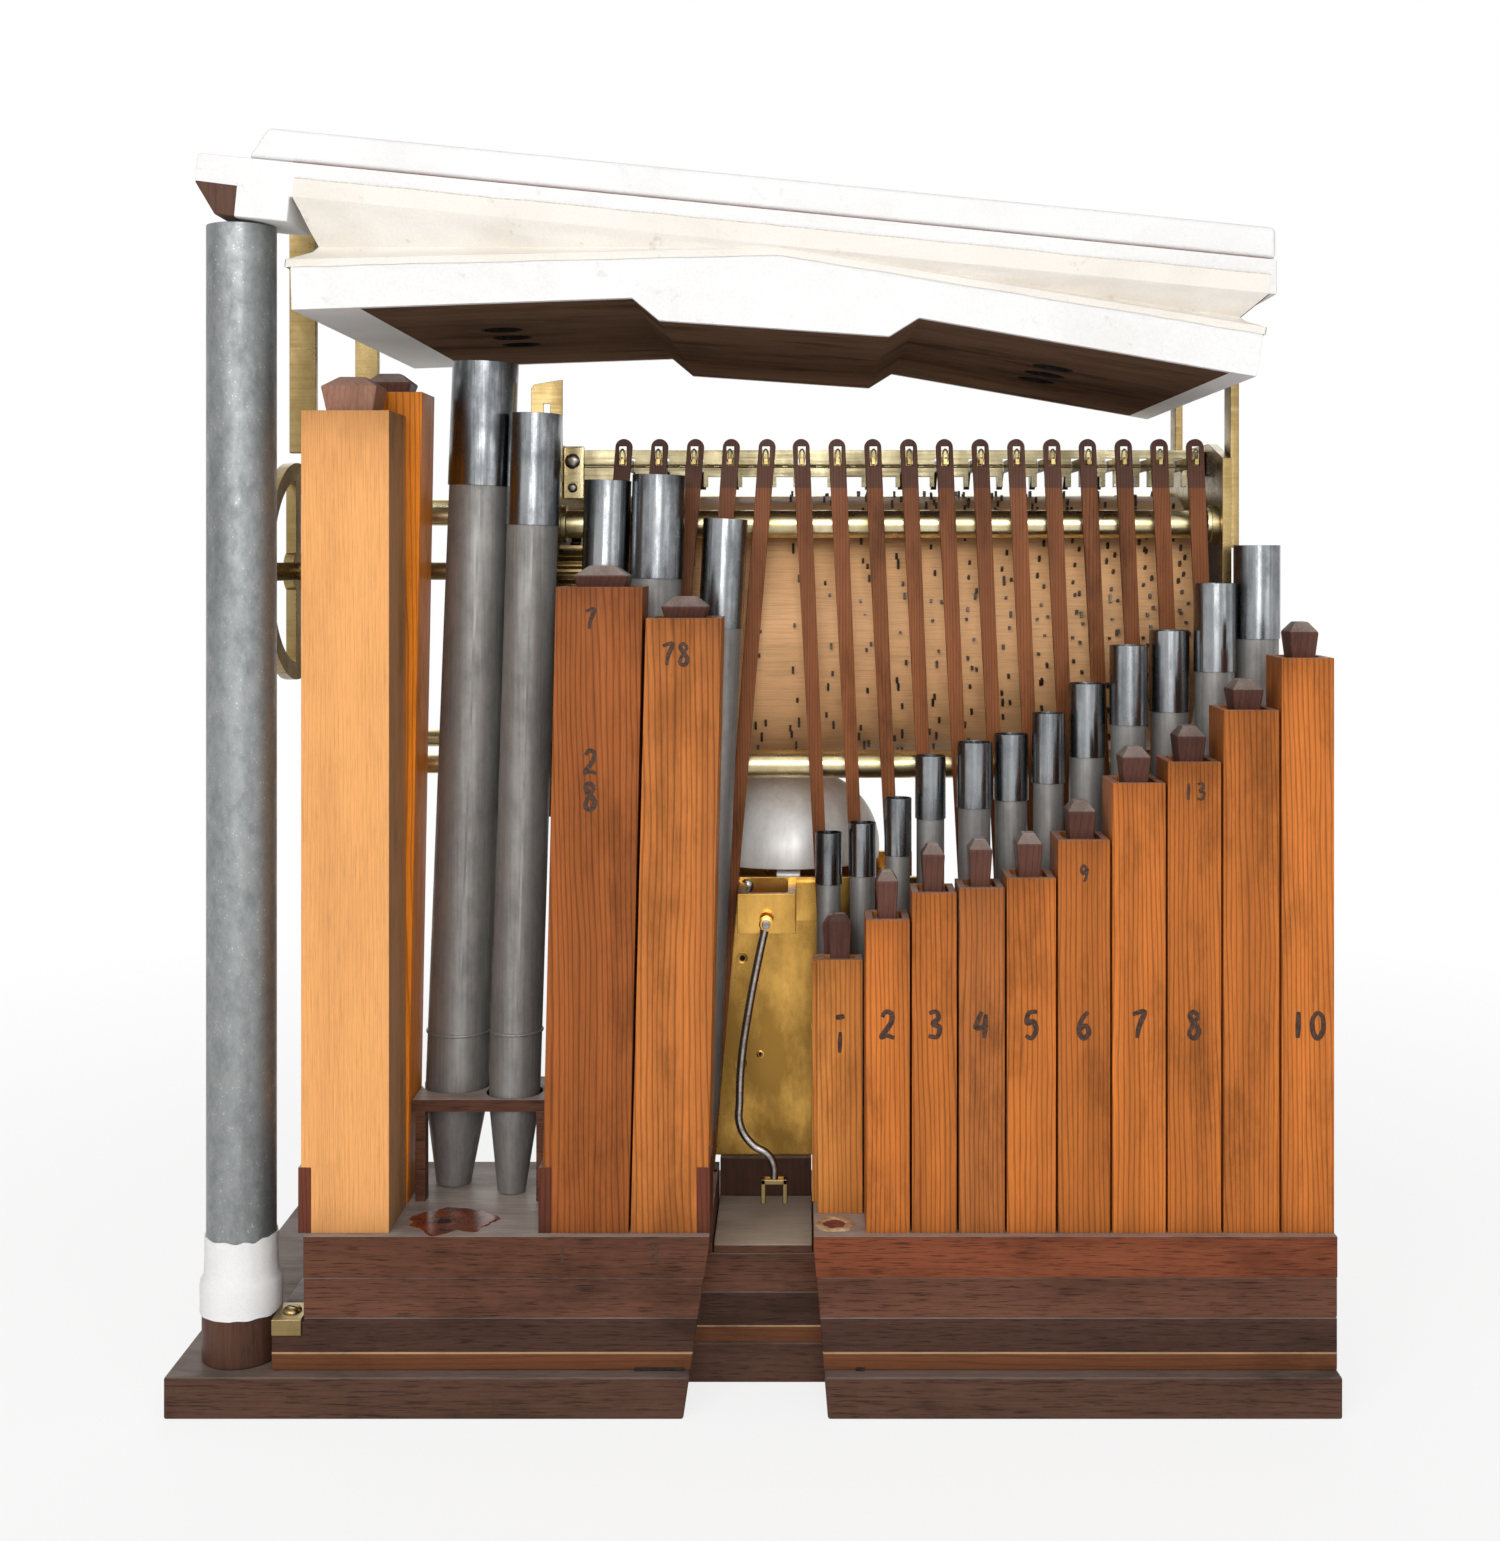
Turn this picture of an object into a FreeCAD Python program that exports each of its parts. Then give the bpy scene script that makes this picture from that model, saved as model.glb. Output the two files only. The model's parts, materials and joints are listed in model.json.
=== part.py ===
"""Barrel organ movement of a flute-playing clock.

A pinned wooden barrel turns under a row of brass keys. Each key pushes a wooden sticker down into the
wind chest, which lets wind into one metal pipe and one wooden pipe. A leather bellows on top feeds the
chest through a zinc wind trunk. Millimetres, +Z up, front (pipe side) towards -Y.
"""
import FreeCAD, Part
import math
import os

V = FreeCAD.Vector
OVERCUT = 1.0

# Overall base
BASE_WIDTH = 354.0
BASE_DEPTH = 190.0
BASE_THICK = 12.6
FRONT_Y = -BASE_DEPTH / 2

# Wind chest
CHEST_LEFT_X = -146.0
CHEST_STICKER_MARGIN = 18.6
CHEST_SETBACK = 5.0
CHEST_DEPTH = 70.0
CHEST_FLOOR_THICK = 5.6
CHEST_BOX_HEIGHT = 22.5
TOE_BOARD_THICK = 12.4
TOE_LEFT_X = -136.3
NOTCH_DEPTH = 25.0
NOTCH_TOP_LEFT_X = -13.1
NOTCH_TOP_RIGHT_X = 18.0
NOTCH_BOTTOM_LEFT_X = -21.0
NOTCH_BOTTOM_RIGHT_X = 22.5
SHELF_RISE = 2.6
LEDGE_HEIGHT = 9.0
TOE_NOTCH_CLEAR = 0.3
CHEST_Y = FRONT_Y + CHEST_SETBACK
CHEST_BACK_Y = CHEST_Y + CHEST_DEPTH
CHEST_FLOOR_Z = BASE_THICK
CHEST_BOX_Z = CHEST_FLOOR_Z + CHEST_FLOOR_THICK
TOE_Z = CHEST_BOX_Z + CHEST_BOX_HEIGHT
CHEST_TOP_Z = TOE_Z + TOE_BOARD_THICK

# Seat of the clock movement, behind the chest
SEAT_HEIGHT = 43.8
SEAT_CHEEK = 12.0
SEAT_CLEAR = 0.5

# Wooden pipes: width and speaking height above the toe board, smallest first
RIGHT_PIPE_START_X = 34.2
RIGHT_PIPE_GAP = 0.7
RIGHT_PIPE_WIDTHS = (13.3, 13.6, 13.9, 14.9, 15.8, 16.2, 16.2, 17.0, 16.0)
RIGHT_PIPE_HEIGHTS = (95.4, 103.6, 105.1, 108.1, 119.7, 137.0, 143.4, 159.2, 175.1)
PIPE_SETBACK = 8.0
PIPE_DEPTH_SHARE = 1.22
PIPE_WALL = 2.2
SMALL_PIPE_WIDTH = 14.2
SMALL_PIPE_X = 26.6
SMALL_PIPE_HEIGHTS = (79.5, 77.0)
SMALL_PIPE_SETBACK = 25.0
SMALL_PIPE_DEPTH = 9.0
SMALL_PIPE_SHIFT = 1.6
# Left wooden pipes: (foot centre X, width, height, depth, set-back, lean of the top, cap side)
LEFT_WOOD = (
    (-124.4, 26.8, 250.5, 24.0, 8.0, 0.0, -1),
    (-122.8, 24.0, 258.3, 20.0, 33.0, 4.8, 0),
    (-51.4, 26.5, 196.7, 22.0, 8.0, 4.4, -1),
    (-25.9, 23.2, 187.2, 22.0, 8.0, 4.6, 1),
)
CAP_HEIGHT = 20.0
CAP_THICK = 4.0
CAP_PROUD = 0.9
STOPPER_FIT = 0.1
STOPPER_DEPTH = 14.0
STOPPER_SUNK = 1.5
STOPPER_NECK_SHARE = 0.62
STOPPER_HEAD_SHARE = 0.78
STOPPER_TOP_SHARE = 0.45
HANDLE_RISE_SMALL = 14.0
HANDLE_RISE_STEP = 1.8
HANDLE_RISE_MIN = 6.5
FIRST_HANDLE_RISE = 11.0
CROWN_HEIGHT = 3.2

# Metal pipes: (foot centre X, slide diameter, top height above toe board, slide length, lean, axis set-back)
LEFT_METAL = (
    (-100.0, 21.6, 269.7, 40.4, 10.6, 54.5),
    (-79.6, 17.4, 252.3, 36.1, 7.9, 46.0),
    (-56.5, 15.4, 231.0, 36.0, 7.5, 53.0),
    (-38.6, 17.4, 232.6, 33.7, 6.6, 50.0),
    (-20.4, 14.6, 218.5, 35.7, 10.0, 52.5),
)
RIGHT_METAL_X = (23.4, 34.4, 45.8, 56.6, 70.6, 82.9, 94.6, 107.6, 120.6, 134.6, 148.6, 163.2)
RIGHT_METAL_DIAMETERS = (8.7, 9.1, 8.8, 10.0, 11.3, 11.3, 10.6, 12.3, 12.3, 13.0, 13.6, 15.0)
RIGHT_METAL_HEIGHTS = (115.7, 118.9, 127.7, 141.0, 145.8, 148.1, 155.2, 164.6, 177.2, 181.8, 197.3, 209.6)
RIGHT_SLIDE_SHARE = 0.145
RIGHT_METAL_SETBACK = 45.5
RIGHT_METAL_STAGGER = 4.0
SMALL_METAL_COUNT = 2
SMALL_METAL_SETBACK = 51.0
METAL_WALL = 0.5
SLIDE_WALL = 0.4
SLIDE_FIT = 0.05
SLIDE_PROUD_SHARE = 0.25
FOOT_LENGTH = 29.0
FOOT_TIP_SHARE = 0.55
FOOT_SEAT_GAP = 0.3
MOUTH_RISE = 14.0
MOUTH_HEIGHT_SHARE = 0.28
MOUTH_WIDTH_SHARE = 0.6
PIPE_MOUTH_GAP = 0.6

# Pipe rack that steadies the two tall metal pipes
RACK_LEFT_X = -109.8
RACK_RIGHT_X = -66.0
RACK_SETBACK = 36.0
RACK_DEPTH = 27.0
RACK_THICK = 3.8
RACK_TOP_RISE = 32.4
RACK_POST_WIDTH = 3.2
RACK_POST_DEPTH = 5.0
RACK_POST_INSET = 1.0
RACK_FIT = 0.4

# Wind trunk
TRUNK_X = -158.4
TRUNK_SETBACK = 16.5
TRUNK_RADIUS = 10.5
TRUNK_WALL = 0.8
SOCKET_RADIUS = 11.8
SOCKET_HEIGHT = 24.0
SOCKET_STEP = 4.0
TRUNK_FIT = 0.05
TRUNK_TOP_GAP = 0.3

# Barrel and its frame
BARREL_SETBACK = 122.0
BARREL_Z = 233.9
BARREL_RADIUS = 47.0
BARREL_LEFT_X = -54.0
BARREL_KEY_MARGIN = 3.4
ARBOR_RADIUS = 3.0
ARBOR_STANDS_OUT = 8.0
RUNNING_FIT = 0.05
PIN_HEIGHT = 2.0
PIN_THICK = 0.8
PIN_LENGTH = 1.0
TUNES = 4
TUNE_SHIFT = 1.0
NOTES_PER_TRACK = 4
TRACK_TURN_DEG = 137.5
TRACK_KEY_STEP = 7
TRACK_TUNE_STEP = 3
NOTE_TURN_DEG = 29.0
PLATE_THICK = 3.0
LEFT_PLATE_X = -72.0
PLATE_KEY_MARGIN = 8.7
OUTER_PLATE_X = -150.0
PLATE_FRONT_SETBACK = 64.0
PLATE_DEPTH = 108.0
PLATE_BOTTOM_Z = 172.0
PLATE_TOP_Z = 298.0
LEG_DEPTH = 34.0
LEG_SETBACK = 126.0
PLATE_FLARE = 8.0
PLATE_CORNER_RUN = 22.0
PLATE_CORNER_DROP = 6.0
ROD_RADIUS = 4.75
ROD_COLLAR_RADIUS = 6.2
ROD_COLLAR_LENGTH = 4.0
ROD_FRONT_SETBACK = 74.0
ROD_REAR_SETBACK = 163.0
ROD_TOP_Z = 270.0
ROD_REAR_TOP_Z = 278.0
ROD_LOW_Z = 188.6
TRAIN_ROD_RADIUS = 3.2
TRAIN_ROD_TOP_Z = 272.7
CATCH_WIDTH = 10.4
CATCH_THICK = 1.5
CATCH_LAP = 14.0
CATCH_RISE = 20.0
CATCH_SLANT = 1.6
CATCH_CORNER_RUN = 1.0
CATCH_CORNER_DROP = 3.0
CATCH_SLOT_RISE = 1.0
CATCH_SLOT_WIDTH = 2.2
CATCH_SLOT_LENGTH = 11.0

# Gear pair at the left end of the barrel
GEAR_MODULE = 1.0
BARREL_TEETH = 80
PINION_TEETH = 16
WHEEL_THICK = 3.5
WHEEL_LEFT_X = -66.5
PINION_LEFT_X = -68.0
PINION_LENGTH = 10.5
TOOTH_TIP_HALF = 0.105
TOOTH_ROOT_HALF = 0.30
ADDENDUM = 0.9
DEDENDUM = 1.2
DRIVE_Z = 254.0
DRIVE_WHEEL_RADIUS = 37.0
DRIVE_WHEEL_X = -161.0
DRIVE_ARBOR_OUT = 5.0
DRIVE_ARBOR_TIP = 1.0
SPOKE_WIDTH = 6.0
RIM_WIDTH = 6.0
HUB_RADIUS = 7.0

# Keys and key bar
KEY_COUNT = 17
KEY_PITCH = 12.0
KEY_FIRST_X = -45.4
KEY_BAR_SETBACK = 95.0
KEY_BAR_THICK = 3.2
KEY_BAR_BOTTOM_Z = 283.4
KEY_BAR_TOP_Z = 296.3
KEY_PIVOT_Z = 290.7
KEY_WIRE_RADIUS = 0.5
KEY_WIRE_LENGTH = 10.0
KEY_THICK = 2.0
KEY_SLOT_CLEAR = 0.5
KEY_SLOT_HEADROOM = 1.0
KEY_HEIGHT = 3.6
KEY_BEAK_CLEAR = 0.5
KEY_BEAK_HALF = 1.0
KEY_BEAK_RUN = 7.0
KEY_BEAK_BACK = 3.0
KEY_ARM_CLEAR = 2.0
KEY_TAIL_REACH = 1.6
KEY_TAIL_WIDTH = 1.2
KEY_TAIL_HEIGHT = 1.8
WINDOW_WIDTH = 6.0
WINDOW_HEIGHT = 3.6

# Stickers
STICKER_SETBACK = 65.0
STICKER_THICK = 2.0
STICKER_TOP_Z = 298.4
STICKER_TOP_WIDTH = 5.7
STICKER_FOOT_WIDTH = 3.4
STICKER_STRAIGHT = 40.0
STICKER_FOOT_Z = 48.0
STICKER_LEAN_LEFT = -20.0
STICKER_LEAN_RIGHT = 11.6
STICKER_LEFT_COUNT = 5
STICKER_EYE_WIDTH = 2.6
STICKER_EYE_HEIGHT = 6.6
STICKER_EYE_CLEAR = 0.4
STICKER_EYE_ROOF = 2.0
STICKER_GUIDE_CLEAR = 0.8

# Clock movement, bell and crutch
CLOCK_ASIDE = -5.5
CLOCK_WIDTH = 104.0
CLOCK_HEIGHT = 94.0
CLOCK_SETBACK = 72.0
CLOCK_PLATE_THICK = 3.0
CLOCK_GAP = 52.0
CLOCK_PILLAR_RADIUS = 4.0
CLOCK_PILLAR_INSET = 10.0
CLOCK_BOTTOM_Z = CHEST_FLOOR_Z + SEAT_HEIGHT
COCK_Z = 142.6
COCK_WIDTH = 19.0
COCK_HEIGHT = 13.0
COCK_REACH = 24.0
COCK_WALL = 2.6
COCK_FOOT = 9.0
CRUTCH_PIVOT_Z = 140.4
CRUTCH_ARBOR_RADIUS = 1.4
CRUTCH_ARBOR_OUT = 2.0
CRUTCH_ARBOR_IN = 3.0
CRUTCH_BOSS_RADIUS = 3.2
CRUTCH_BOSS_HALF = 2.2
CRUTCH_WIRE_RADIUS = 1.3
CRUTCH_SETBACK = 42.5
CRUTCH_FORK_Z = 50.4
CRUTCH_FORK_WIDTH = 8.6
CRUTCH_FORK_HEIGHT = 8.0
CRUTCH_FORK_DX = 2.6
CRUTCH_FORK_HALF_DEPTH = 1.6
CRUTCH_FORK_WALL = 1.6
CRUTCH_FORK_BRIDGE = 1.8
# Bends of the crutch wire: (sideways from the arbor, down from the arbor)
CRUTCH_BENDS = ((-5.5, 27.0), (-8.6, 57.0), (-8.4, 65.0), (-4.6, 71.0), (0.6, 74.5))
BELL_RADIUS = 32.0
BELL_WALL = 2.2
BELL_LIP_Z = 152.4
BELL_HEIGHT = 30.0
BELL_ASIDE = 6.9
BELL_SETBACK = 107.0
BELL_STUD_RADIUS = 2.5
BELL_WAIST = 0.86
BELL_SHOULDER = 0.62
BELL_BRIDGE_WIDTH = 8.0
BELL_BRIDGE_THICK = 1.2
# Clock wheels: (sideways from the middle, up from the plate's foot, radius)
WHEEL_SET = ((-22.0, 28.0, 20.0), (24.0, 32.0, 19.0), (4.0, 66.0, 15.0))
CLOCK_WHEEL_THICK = 2.0
CLOCK_WHEEL_FIRST = 10.0
CLOCK_WHEEL_STEP = 12.0
CLOCK_ARBOR_RADIUS = 1.5

# Bellows, in a plane that falls to the right
BELLOWS_TILT_DEG = 5.65
BELLOWS_PIVOT_X = 8.0
BELLOWS_PIVOT_Z = 353.1
BELLOWS_SETBACK = 4.0
BELLOWS_DEPTH = 178.0
FRAME_THICK = 10.6
FRAME_LEFT_U = -150.0
FRAME_OVERRUN = 7.0
LUG_LENGTH = 28.0
LUG_DEPTH = 27.0
LUG_BASE_THICK = 7.5
LUG_TOE_RUN = 7.0
LUG_TOE_RISE = 2.0
RESERVOIR_LEFT_U = -163.0
RESERVOIR_THICK = 9.6
RESERVOIR_GAP = 0.3
RESERVOIR_SLANT = 5.0
RESERVOIR_INSET = 1.0
FEEDER_DROP_DEG = 5.3
FEEDER_ROCK_DEG = 1.7
FEEDER_LEFT_LENGTH = 148.0
FEEDER_END_CLEAR = 1.8
FEEDER_THICK = 14.0
FEEDER_END_THICK = 15.2
FEEDER_GAP = 0.8
FEEDER_CENTRE_HALF = 37.0
FEEDER_CENTRE_THICK = 21.0
FEEDER_STEP_RUN = 8.0
VALVE_HOLES = 3
VALVE_RADIUS = 7.0
VALVE_PITCH = 22.0
VALVE_U = 95.0
VALVE_OVERCUT = 5.0
LEATHER_GAP = 0.3
LEATHER_INSET = 2.0
LEATHER_TUCK = 7.0
LEATHER_START = 12.0
LEATHER_LEAST = 0.2
STRAP_THICK = 3.0
STRAP_WIDTH = 9.0
STRAP_FOOT_Z = 262.0
STRAP_LAP = 8.5
STRAP_FRONT_INSET = 2.0
STRAP_REAR_INSET = 4.0
LEFT_STRAP_FOOT_Z = 294.0
LEFT_STRAP_SETBACK = 6.0

# Derived places
LAST_KEY_X = KEY_FIRST_X + (KEY_COUNT - 1) * KEY_PITCH
BARREL_RIGHT_X = LAST_KEY_X + BARREL_KEY_MARGIN
RIGHT_PLATE_X = LAST_KEY_X + PLATE_KEY_MARGIN
CHEST_RIGHT_X = LAST_KEY_X + STICKER_LEAN_RIGHT + CHEST_STICKER_MARGIN
FRAME_RIGHT_X = RIGHT_PLATE_X + PLATE_THICK
FEEDER_RIGHT_LENGTH = FRAME_RIGHT_X - BELLOWS_PIVOT_X - FEEDER_END_CLEAR
CLOCK_X = KEY_FIRST_X + (STICKER_LEFT_COUNT - 0.5) * KEY_PITCH + CLOCK_ASIDE
BELL_X = CLOCK_X + BELL_ASIDE
BARREL_Y = FRONT_Y + BARREL_SETBACK
GEAR_DISTANCE = GEAR_MODULE * (BARREL_TEETH + PINION_TEETH) / 2
DRIVE_Y = BARREL_Y - math.sqrt(GEAR_DISTANCE ** 2 - (DRIVE_Z - BARREL_Z) ** 2)
KEY_BAR_Y = FRONT_Y + KEY_BAR_SETBACK
STICKER_Y = FRONT_Y + STICKER_SETBACK
PLATE_Y = FRONT_Y + PLATE_FRONT_SETBACK
TILT = math.radians(BELLOWS_TILT_DEG)
FRAME_RIGHT_U = (FRAME_RIGHT_X - BELLOWS_PIVOT_X) / math.cos(TILT) + FRAME_OVERRUN


# Solids from a few plain operations

def box(x0, x1, y0, y1, z0, z1):
    return Part.makeBox(x1 - x0, y1 - y0, z1 - z0, V(x0, y0, z0))


def rod(start, end, radius):
    return Part.makeCylinder(radius, (end - start).Length, start, end - start)


def rod_x(x0, x1, y, z, radius):
    return rod(V(x0, y, z), V(x1, y, z), radius)


def face_of(points):
    return Part.Face(Part.makePolygon(points + [points[0]]))


def prism_y(points_xz, y0, y1):
    """Outline in the XZ plane, drawn out along Y."""
    return face_of([V(x, y0, z) for x, z in points_xz]).extrude(V(0, y1 - y0, 0))


def prism_x(points_yz, x0, x1):
    """Outline in the YZ plane, drawn out along X."""
    return face_of([V(x0, y, z) for y, z in points_yz]).extrude(V(x1 - x0, 0, 0))


def leaning_box(x0, x1, y0, y1, z0, z1, lean):
    """An upright box whose top is carried sideways by lean, with a flat foot."""
    foot = face_of([V(x0, y0, z0), V(x1, y0, z0), V(x1, y1, z0), V(x0, y1, z0)])
    return foot.extrude(V(lean, 0, z1 - z0))


def revolved(profile_rz, centre):
    """A closed radius and height profile turned about a vertical axis through centre."""
    points = [V(centre.x + r, centre.y, centre.z + z) for r, z in profile_rz]
    return face_of(points).revolve(centre, V(0, 0, 1), 360)


def export(name, shapes):
    solids = [s for shape in shapes for s in shape.Solids]
    shape = solids[0] if len(solids) == 1 else Part.makeCompound(solids)
    shape.exportStep(os.path.join("parts", name + ".step"))


# Base, chest and wind trunk

def notch(depth, z0, z1):
    """Trapezium cut at the front that lets the pendulum swing."""
    def edge(low, high, z):
        return low + (high - low) * z / CHEST_TOP_Z
    outline = [
        (edge(NOTCH_BOTTOM_LEFT_X, NOTCH_TOP_LEFT_X, z0), z0),
        (edge(NOTCH_BOTTOM_RIGHT_X, NOTCH_TOP_RIGHT_X, z0), z0),
        (edge(NOTCH_BOTTOM_RIGHT_X, NOTCH_TOP_RIGHT_X, z1), z1),
        (edge(NOTCH_BOTTOM_LEFT_X, NOTCH_TOP_LEFT_X, z1), z1),
    ]
    return prism_y(outline, FRONT_Y, FRONT_Y + depth)


def base_board():
    half = BASE_WIDTH / 2
    board = box(-half, half, FRONT_Y, -FRONT_Y, 0, BASE_THICK)
    board = board.cut(notch(NOTCH_DEPTH, 0, BASE_THICK))
    seat_y = FRONT_Y + CLOCK_SETBACK
    seat_depth = CLOCK_GAP + 2 * CLOCK_PLATE_THICK
    left = CLOCK_X - CLOCK_WIDTH / 2
    right = CLOCK_X + CLOCK_WIDTH / 2
    chest_gap_y = max(seat_y, CHEST_BACK_Y + SEAT_CLEAR)
    cheeks = [box(x, x + SEAT_CHEEK, chest_gap_y, seat_y + seat_depth, BASE_THICK, CLOCK_BOTTOM_Z)
              for x in (left, right - SEAT_CHEEK)]
    return [board] + cheeks


def wind_chest():
    floor = box(CHEST_LEFT_X, CHEST_RIGHT_X, CHEST_Y, CHEST_BACK_Y, CHEST_FLOOR_Z, CHEST_BOX_Z)
    body = box(CHEST_LEFT_X, CHEST_RIGHT_X, CHEST_Y, CHEST_BACK_Y, CHEST_BOX_Z, TOE_Z)
    ledge = box(CHEST_LEFT_X, TOE_LEFT_X, CHEST_Y, CHEST_BACK_Y, CHEST_BOX_Z + LEDGE_HEIGHT, TOE_Z)
    shelf = box(NOTCH_TOP_LEFT_X, NOTCH_TOP_RIGHT_X, FRONT_Y + NOTCH_DEPTH, CHEST_BACK_Y, TOE_Z,
                TOE_Z + SHELF_RISE)
    cut = notch(NOTCH_DEPTH, 0, CHEST_TOP_Z)
    return [floor.cut(cut), body.cut(ledge).cut(cut), shelf]


def sticker_centre(index):
    return KEY_FIRST_X + index * KEY_PITCH


def sticker_lean(index):
    return STICKER_LEAN_LEFT if index < STICKER_LEFT_COUNT else STICKER_LEAN_RIGHT


def sticker_x_at(index, z):
    """Centre line of a sticker at height z, crossing its key at the height of the key's pivot."""
    share = (KEY_PIVOT_Z - z) / (STICKER_TOP_Z - STICKER_FOOT_Z)
    return sticker_centre(index) + sticker_lean(index) * share


def toe_boards():
    """The two toe boards, left and right of the pendulum gap, with a guide slot for each sticker."""
    left = box(TOE_LEFT_X, NOTCH_TOP_LEFT_X - TOE_NOTCH_CLEAR, CHEST_Y, CHEST_BACK_Y, TOE_Z, CHEST_TOP_Z)
    right = box(NOTCH_TOP_RIGHT_X + TOE_NOTCH_CLEAR, CHEST_RIGHT_X, CHEST_Y, CHEST_BACK_Y, TOE_Z, CHEST_TOP_Z)
    cut = notch(NOTCH_DEPTH, 0, CHEST_TOP_Z)
    boards = [left.cut(cut), right.cut(cut)]
    half = STICKER_FOOT_WIDTH / 2 + STICKER_GUIDE_CLEAR
    y0 = STICKER_Y - STICKER_GUIDE_CLEAR / 2
    y1 = STICKER_Y + STICKER_THICK + STICKER_GUIDE_CLEAR / 2
    for index in range(KEY_COUNT):
        x = sticker_x_at(index, CHEST_TOP_Z)
        slope = x - sticker_x_at(index, TOE_Z)
        slot = leaning_box(x - slope - half, x - slope + half, y0, y1, TOE_Z, CHEST_TOP_Z, slope)
        side = 0 if index < STICKER_LEFT_COUNT else 1
        boards[side] = boards[side].cut(slot)
    return boards


def trunk_socket():
    centre = V(TRUNK_X, FRONT_Y + TRUNK_SETBACK, BASE_THICK)
    bore = TRUNK_RADIUS + TRUNK_FIT
    profile = [(0, 0), (SOCKET_RADIUS, 0), (SOCKET_RADIUS, SOCKET_HEIGHT), (bore, SOCKET_HEIGHT),
               (bore, SOCKET_STEP), (0, SOCKET_STEP)]
    return [revolved(profile, centre)]


def lug_bottom_z(x):
    """Height of the underside of the bellows lug at x."""
    return BELLOWS_PIVOT_Z - (x - BELLOWS_PIVOT_X) * math.tan(TILT) - LUG_BASE_THICK


def wind_trunk():
    centre = V(TRUNK_X, FRONT_Y + TRUNK_SETBACK, BASE_THICK + SOCKET_STEP)
    length = lug_bottom_z(TRUNK_X + TRUNK_RADIUS) - centre.z - TRUNK_TOP_GAP
    inner = TRUNK_RADIUS - TRUNK_WALL
    return [revolved([(inner, 0), (TRUNK_RADIUS, 0), (TRUNK_RADIUS, length), (inner, length)], centre)]


# Wooden pipes

def wood_pipe(x, width, height, depth, setback, lean, cap_side):
    """A square pipe, open at the top, with the mouth cap on its left, right or back face."""
    y0 = FRONT_Y + setback
    y1 = y0 + depth
    z0 = CHEST_TOP_Z
    z1 = z0 + height
    body = leaning_box(x - width / 2, x + width / 2, y0, y1, z0, z1, lean)
    floor = CAP_HEIGHT
    bore_lean = lean * (height - floor) / height
    start = lean - bore_lean
    bore = leaning_box(x - width / 2 + PIPE_WALL + start, x + width / 2 - PIPE_WALL + start,
                       y0 + PIPE_WALL, y1 - PIPE_WALL, z0 + floor, z1, bore_lean)
    pipe = body.cut(bore)
    mouth_low = z0 + floor + PIPE_MOUTH_GAP
    mouth_high = mouth_low + width * MOUTH_HEIGHT_SHARE
    if cap_side:
        wall_x = x + cap_side * (width / 2 - PIPE_WALL / 2)
        mouth = box(wall_x - PIPE_WALL, wall_x + PIPE_WALL, y0 + PIPE_WALL, y1 - PIPE_WALL,
                    mouth_low, mouth_high)
        outside = x + cap_side * (width / 2 + CAP_PROUD)
        inside = outside - cap_side * CAP_THICK
        cap = box(min(inside, outside), max(inside, outside), y0, y1, z0, z0 + CAP_HEIGHT)
    else:
        mouth = box(x - width / 2 + PIPE_WALL, x + width / 2 - PIPE_WALL, y1 - 2 * PIPE_WALL,
                    y1 + PIPE_WALL, mouth_low, mouth_high)
        outside = y1 + CAP_PROUD
        cap = box(x - width / 2, x + width / 2, outside - CAP_THICK, outside, z0, z0 + CAP_HEIGHT)
    return [pipe.cut(mouth).cut(cap), cap]


def stopper(x, width, depth, setback, top_z, rise, slope):
    """Plug in the pipe's mouth with a tapered handle and a low pyramid crown."""
    y = FRONT_Y + setback + depth / 2
    plug_x = width / 2 - PIPE_WALL - STOPPER_FIT
    plug_y = depth / 2 - PIPE_WALL - STOPPER_FIT
    neck = (plug_x * STOPPER_NECK_SHARE, plug_y * STOPPER_NECK_SHARE)
    head = (plug_x * STOPPER_HEAD_SHARE, plug_y * STOPPER_HEAD_SHARE)
    top = (head[0] * STOPPER_TOP_SHARE, head[1] * STOPPER_TOP_SHARE)

    def section(half, z):
        return Part.makePolygon([V(x - half[0], y - half[1], z), V(x + half[0], y - half[1], z),
                                 V(x + half[0], y + half[1], z), V(x - half[0], y + half[1], z),
                                 V(x - half[0], y - half[1], z)])
    plug_top = top_z - STOPPER_SUNK
    low_x = x - slope * STOPPER_DEPTH
    plug = leaning_box(low_x - plug_x, low_x + plug_x, y - plug_y, y + plug_y, plug_top - STOPPER_DEPTH,
                       plug_top, slope * STOPPER_DEPTH)
    crown_z = top_z + rise - CROWN_HEIGHT
    handle = Part.makeLoft([section(neck, plug_top), section(head, crown_z)], True, True)
    crown = Part.makeLoft([section(head, crown_z), section(top, top_z + rise)], True, True)
    return plug.fuse(handle).fuse(crown).removeSplitter()


def wood_rank():
    """Sizes of every wooden pipe: (X, width, height, depth, setback, lean, cap side)."""
    pipes = list(LEFT_WOOD)
    for number, height in enumerate(SMALL_PIPE_HEIGHTS):
        setback = SMALL_PIPE_SETBACK + number * (SMALL_PIPE_DEPTH + CAP_PROUD + RIGHT_PIPE_GAP)
        x = SMALL_PIPE_X - number * SMALL_PIPE_SHIFT
        pipes.append((x, SMALL_PIPE_WIDTH, height, SMALL_PIPE_DEPTH, setback, 0.0, 0))
    x = RIGHT_PIPE_START_X
    for width, height in zip(RIGHT_PIPE_WIDTHS, RIGHT_PIPE_HEIGHTS):
        pipes.append((x + width / 2, width, height, width * PIPE_DEPTH_SHARE, PIPE_SETBACK, 0.0, 0))
        x += width + RIGHT_PIPE_GAP
    return pipes


def wood_pipes():
    return [solid for pipe in wood_rank() for solid in wood_pipe(*pipe)]


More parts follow.
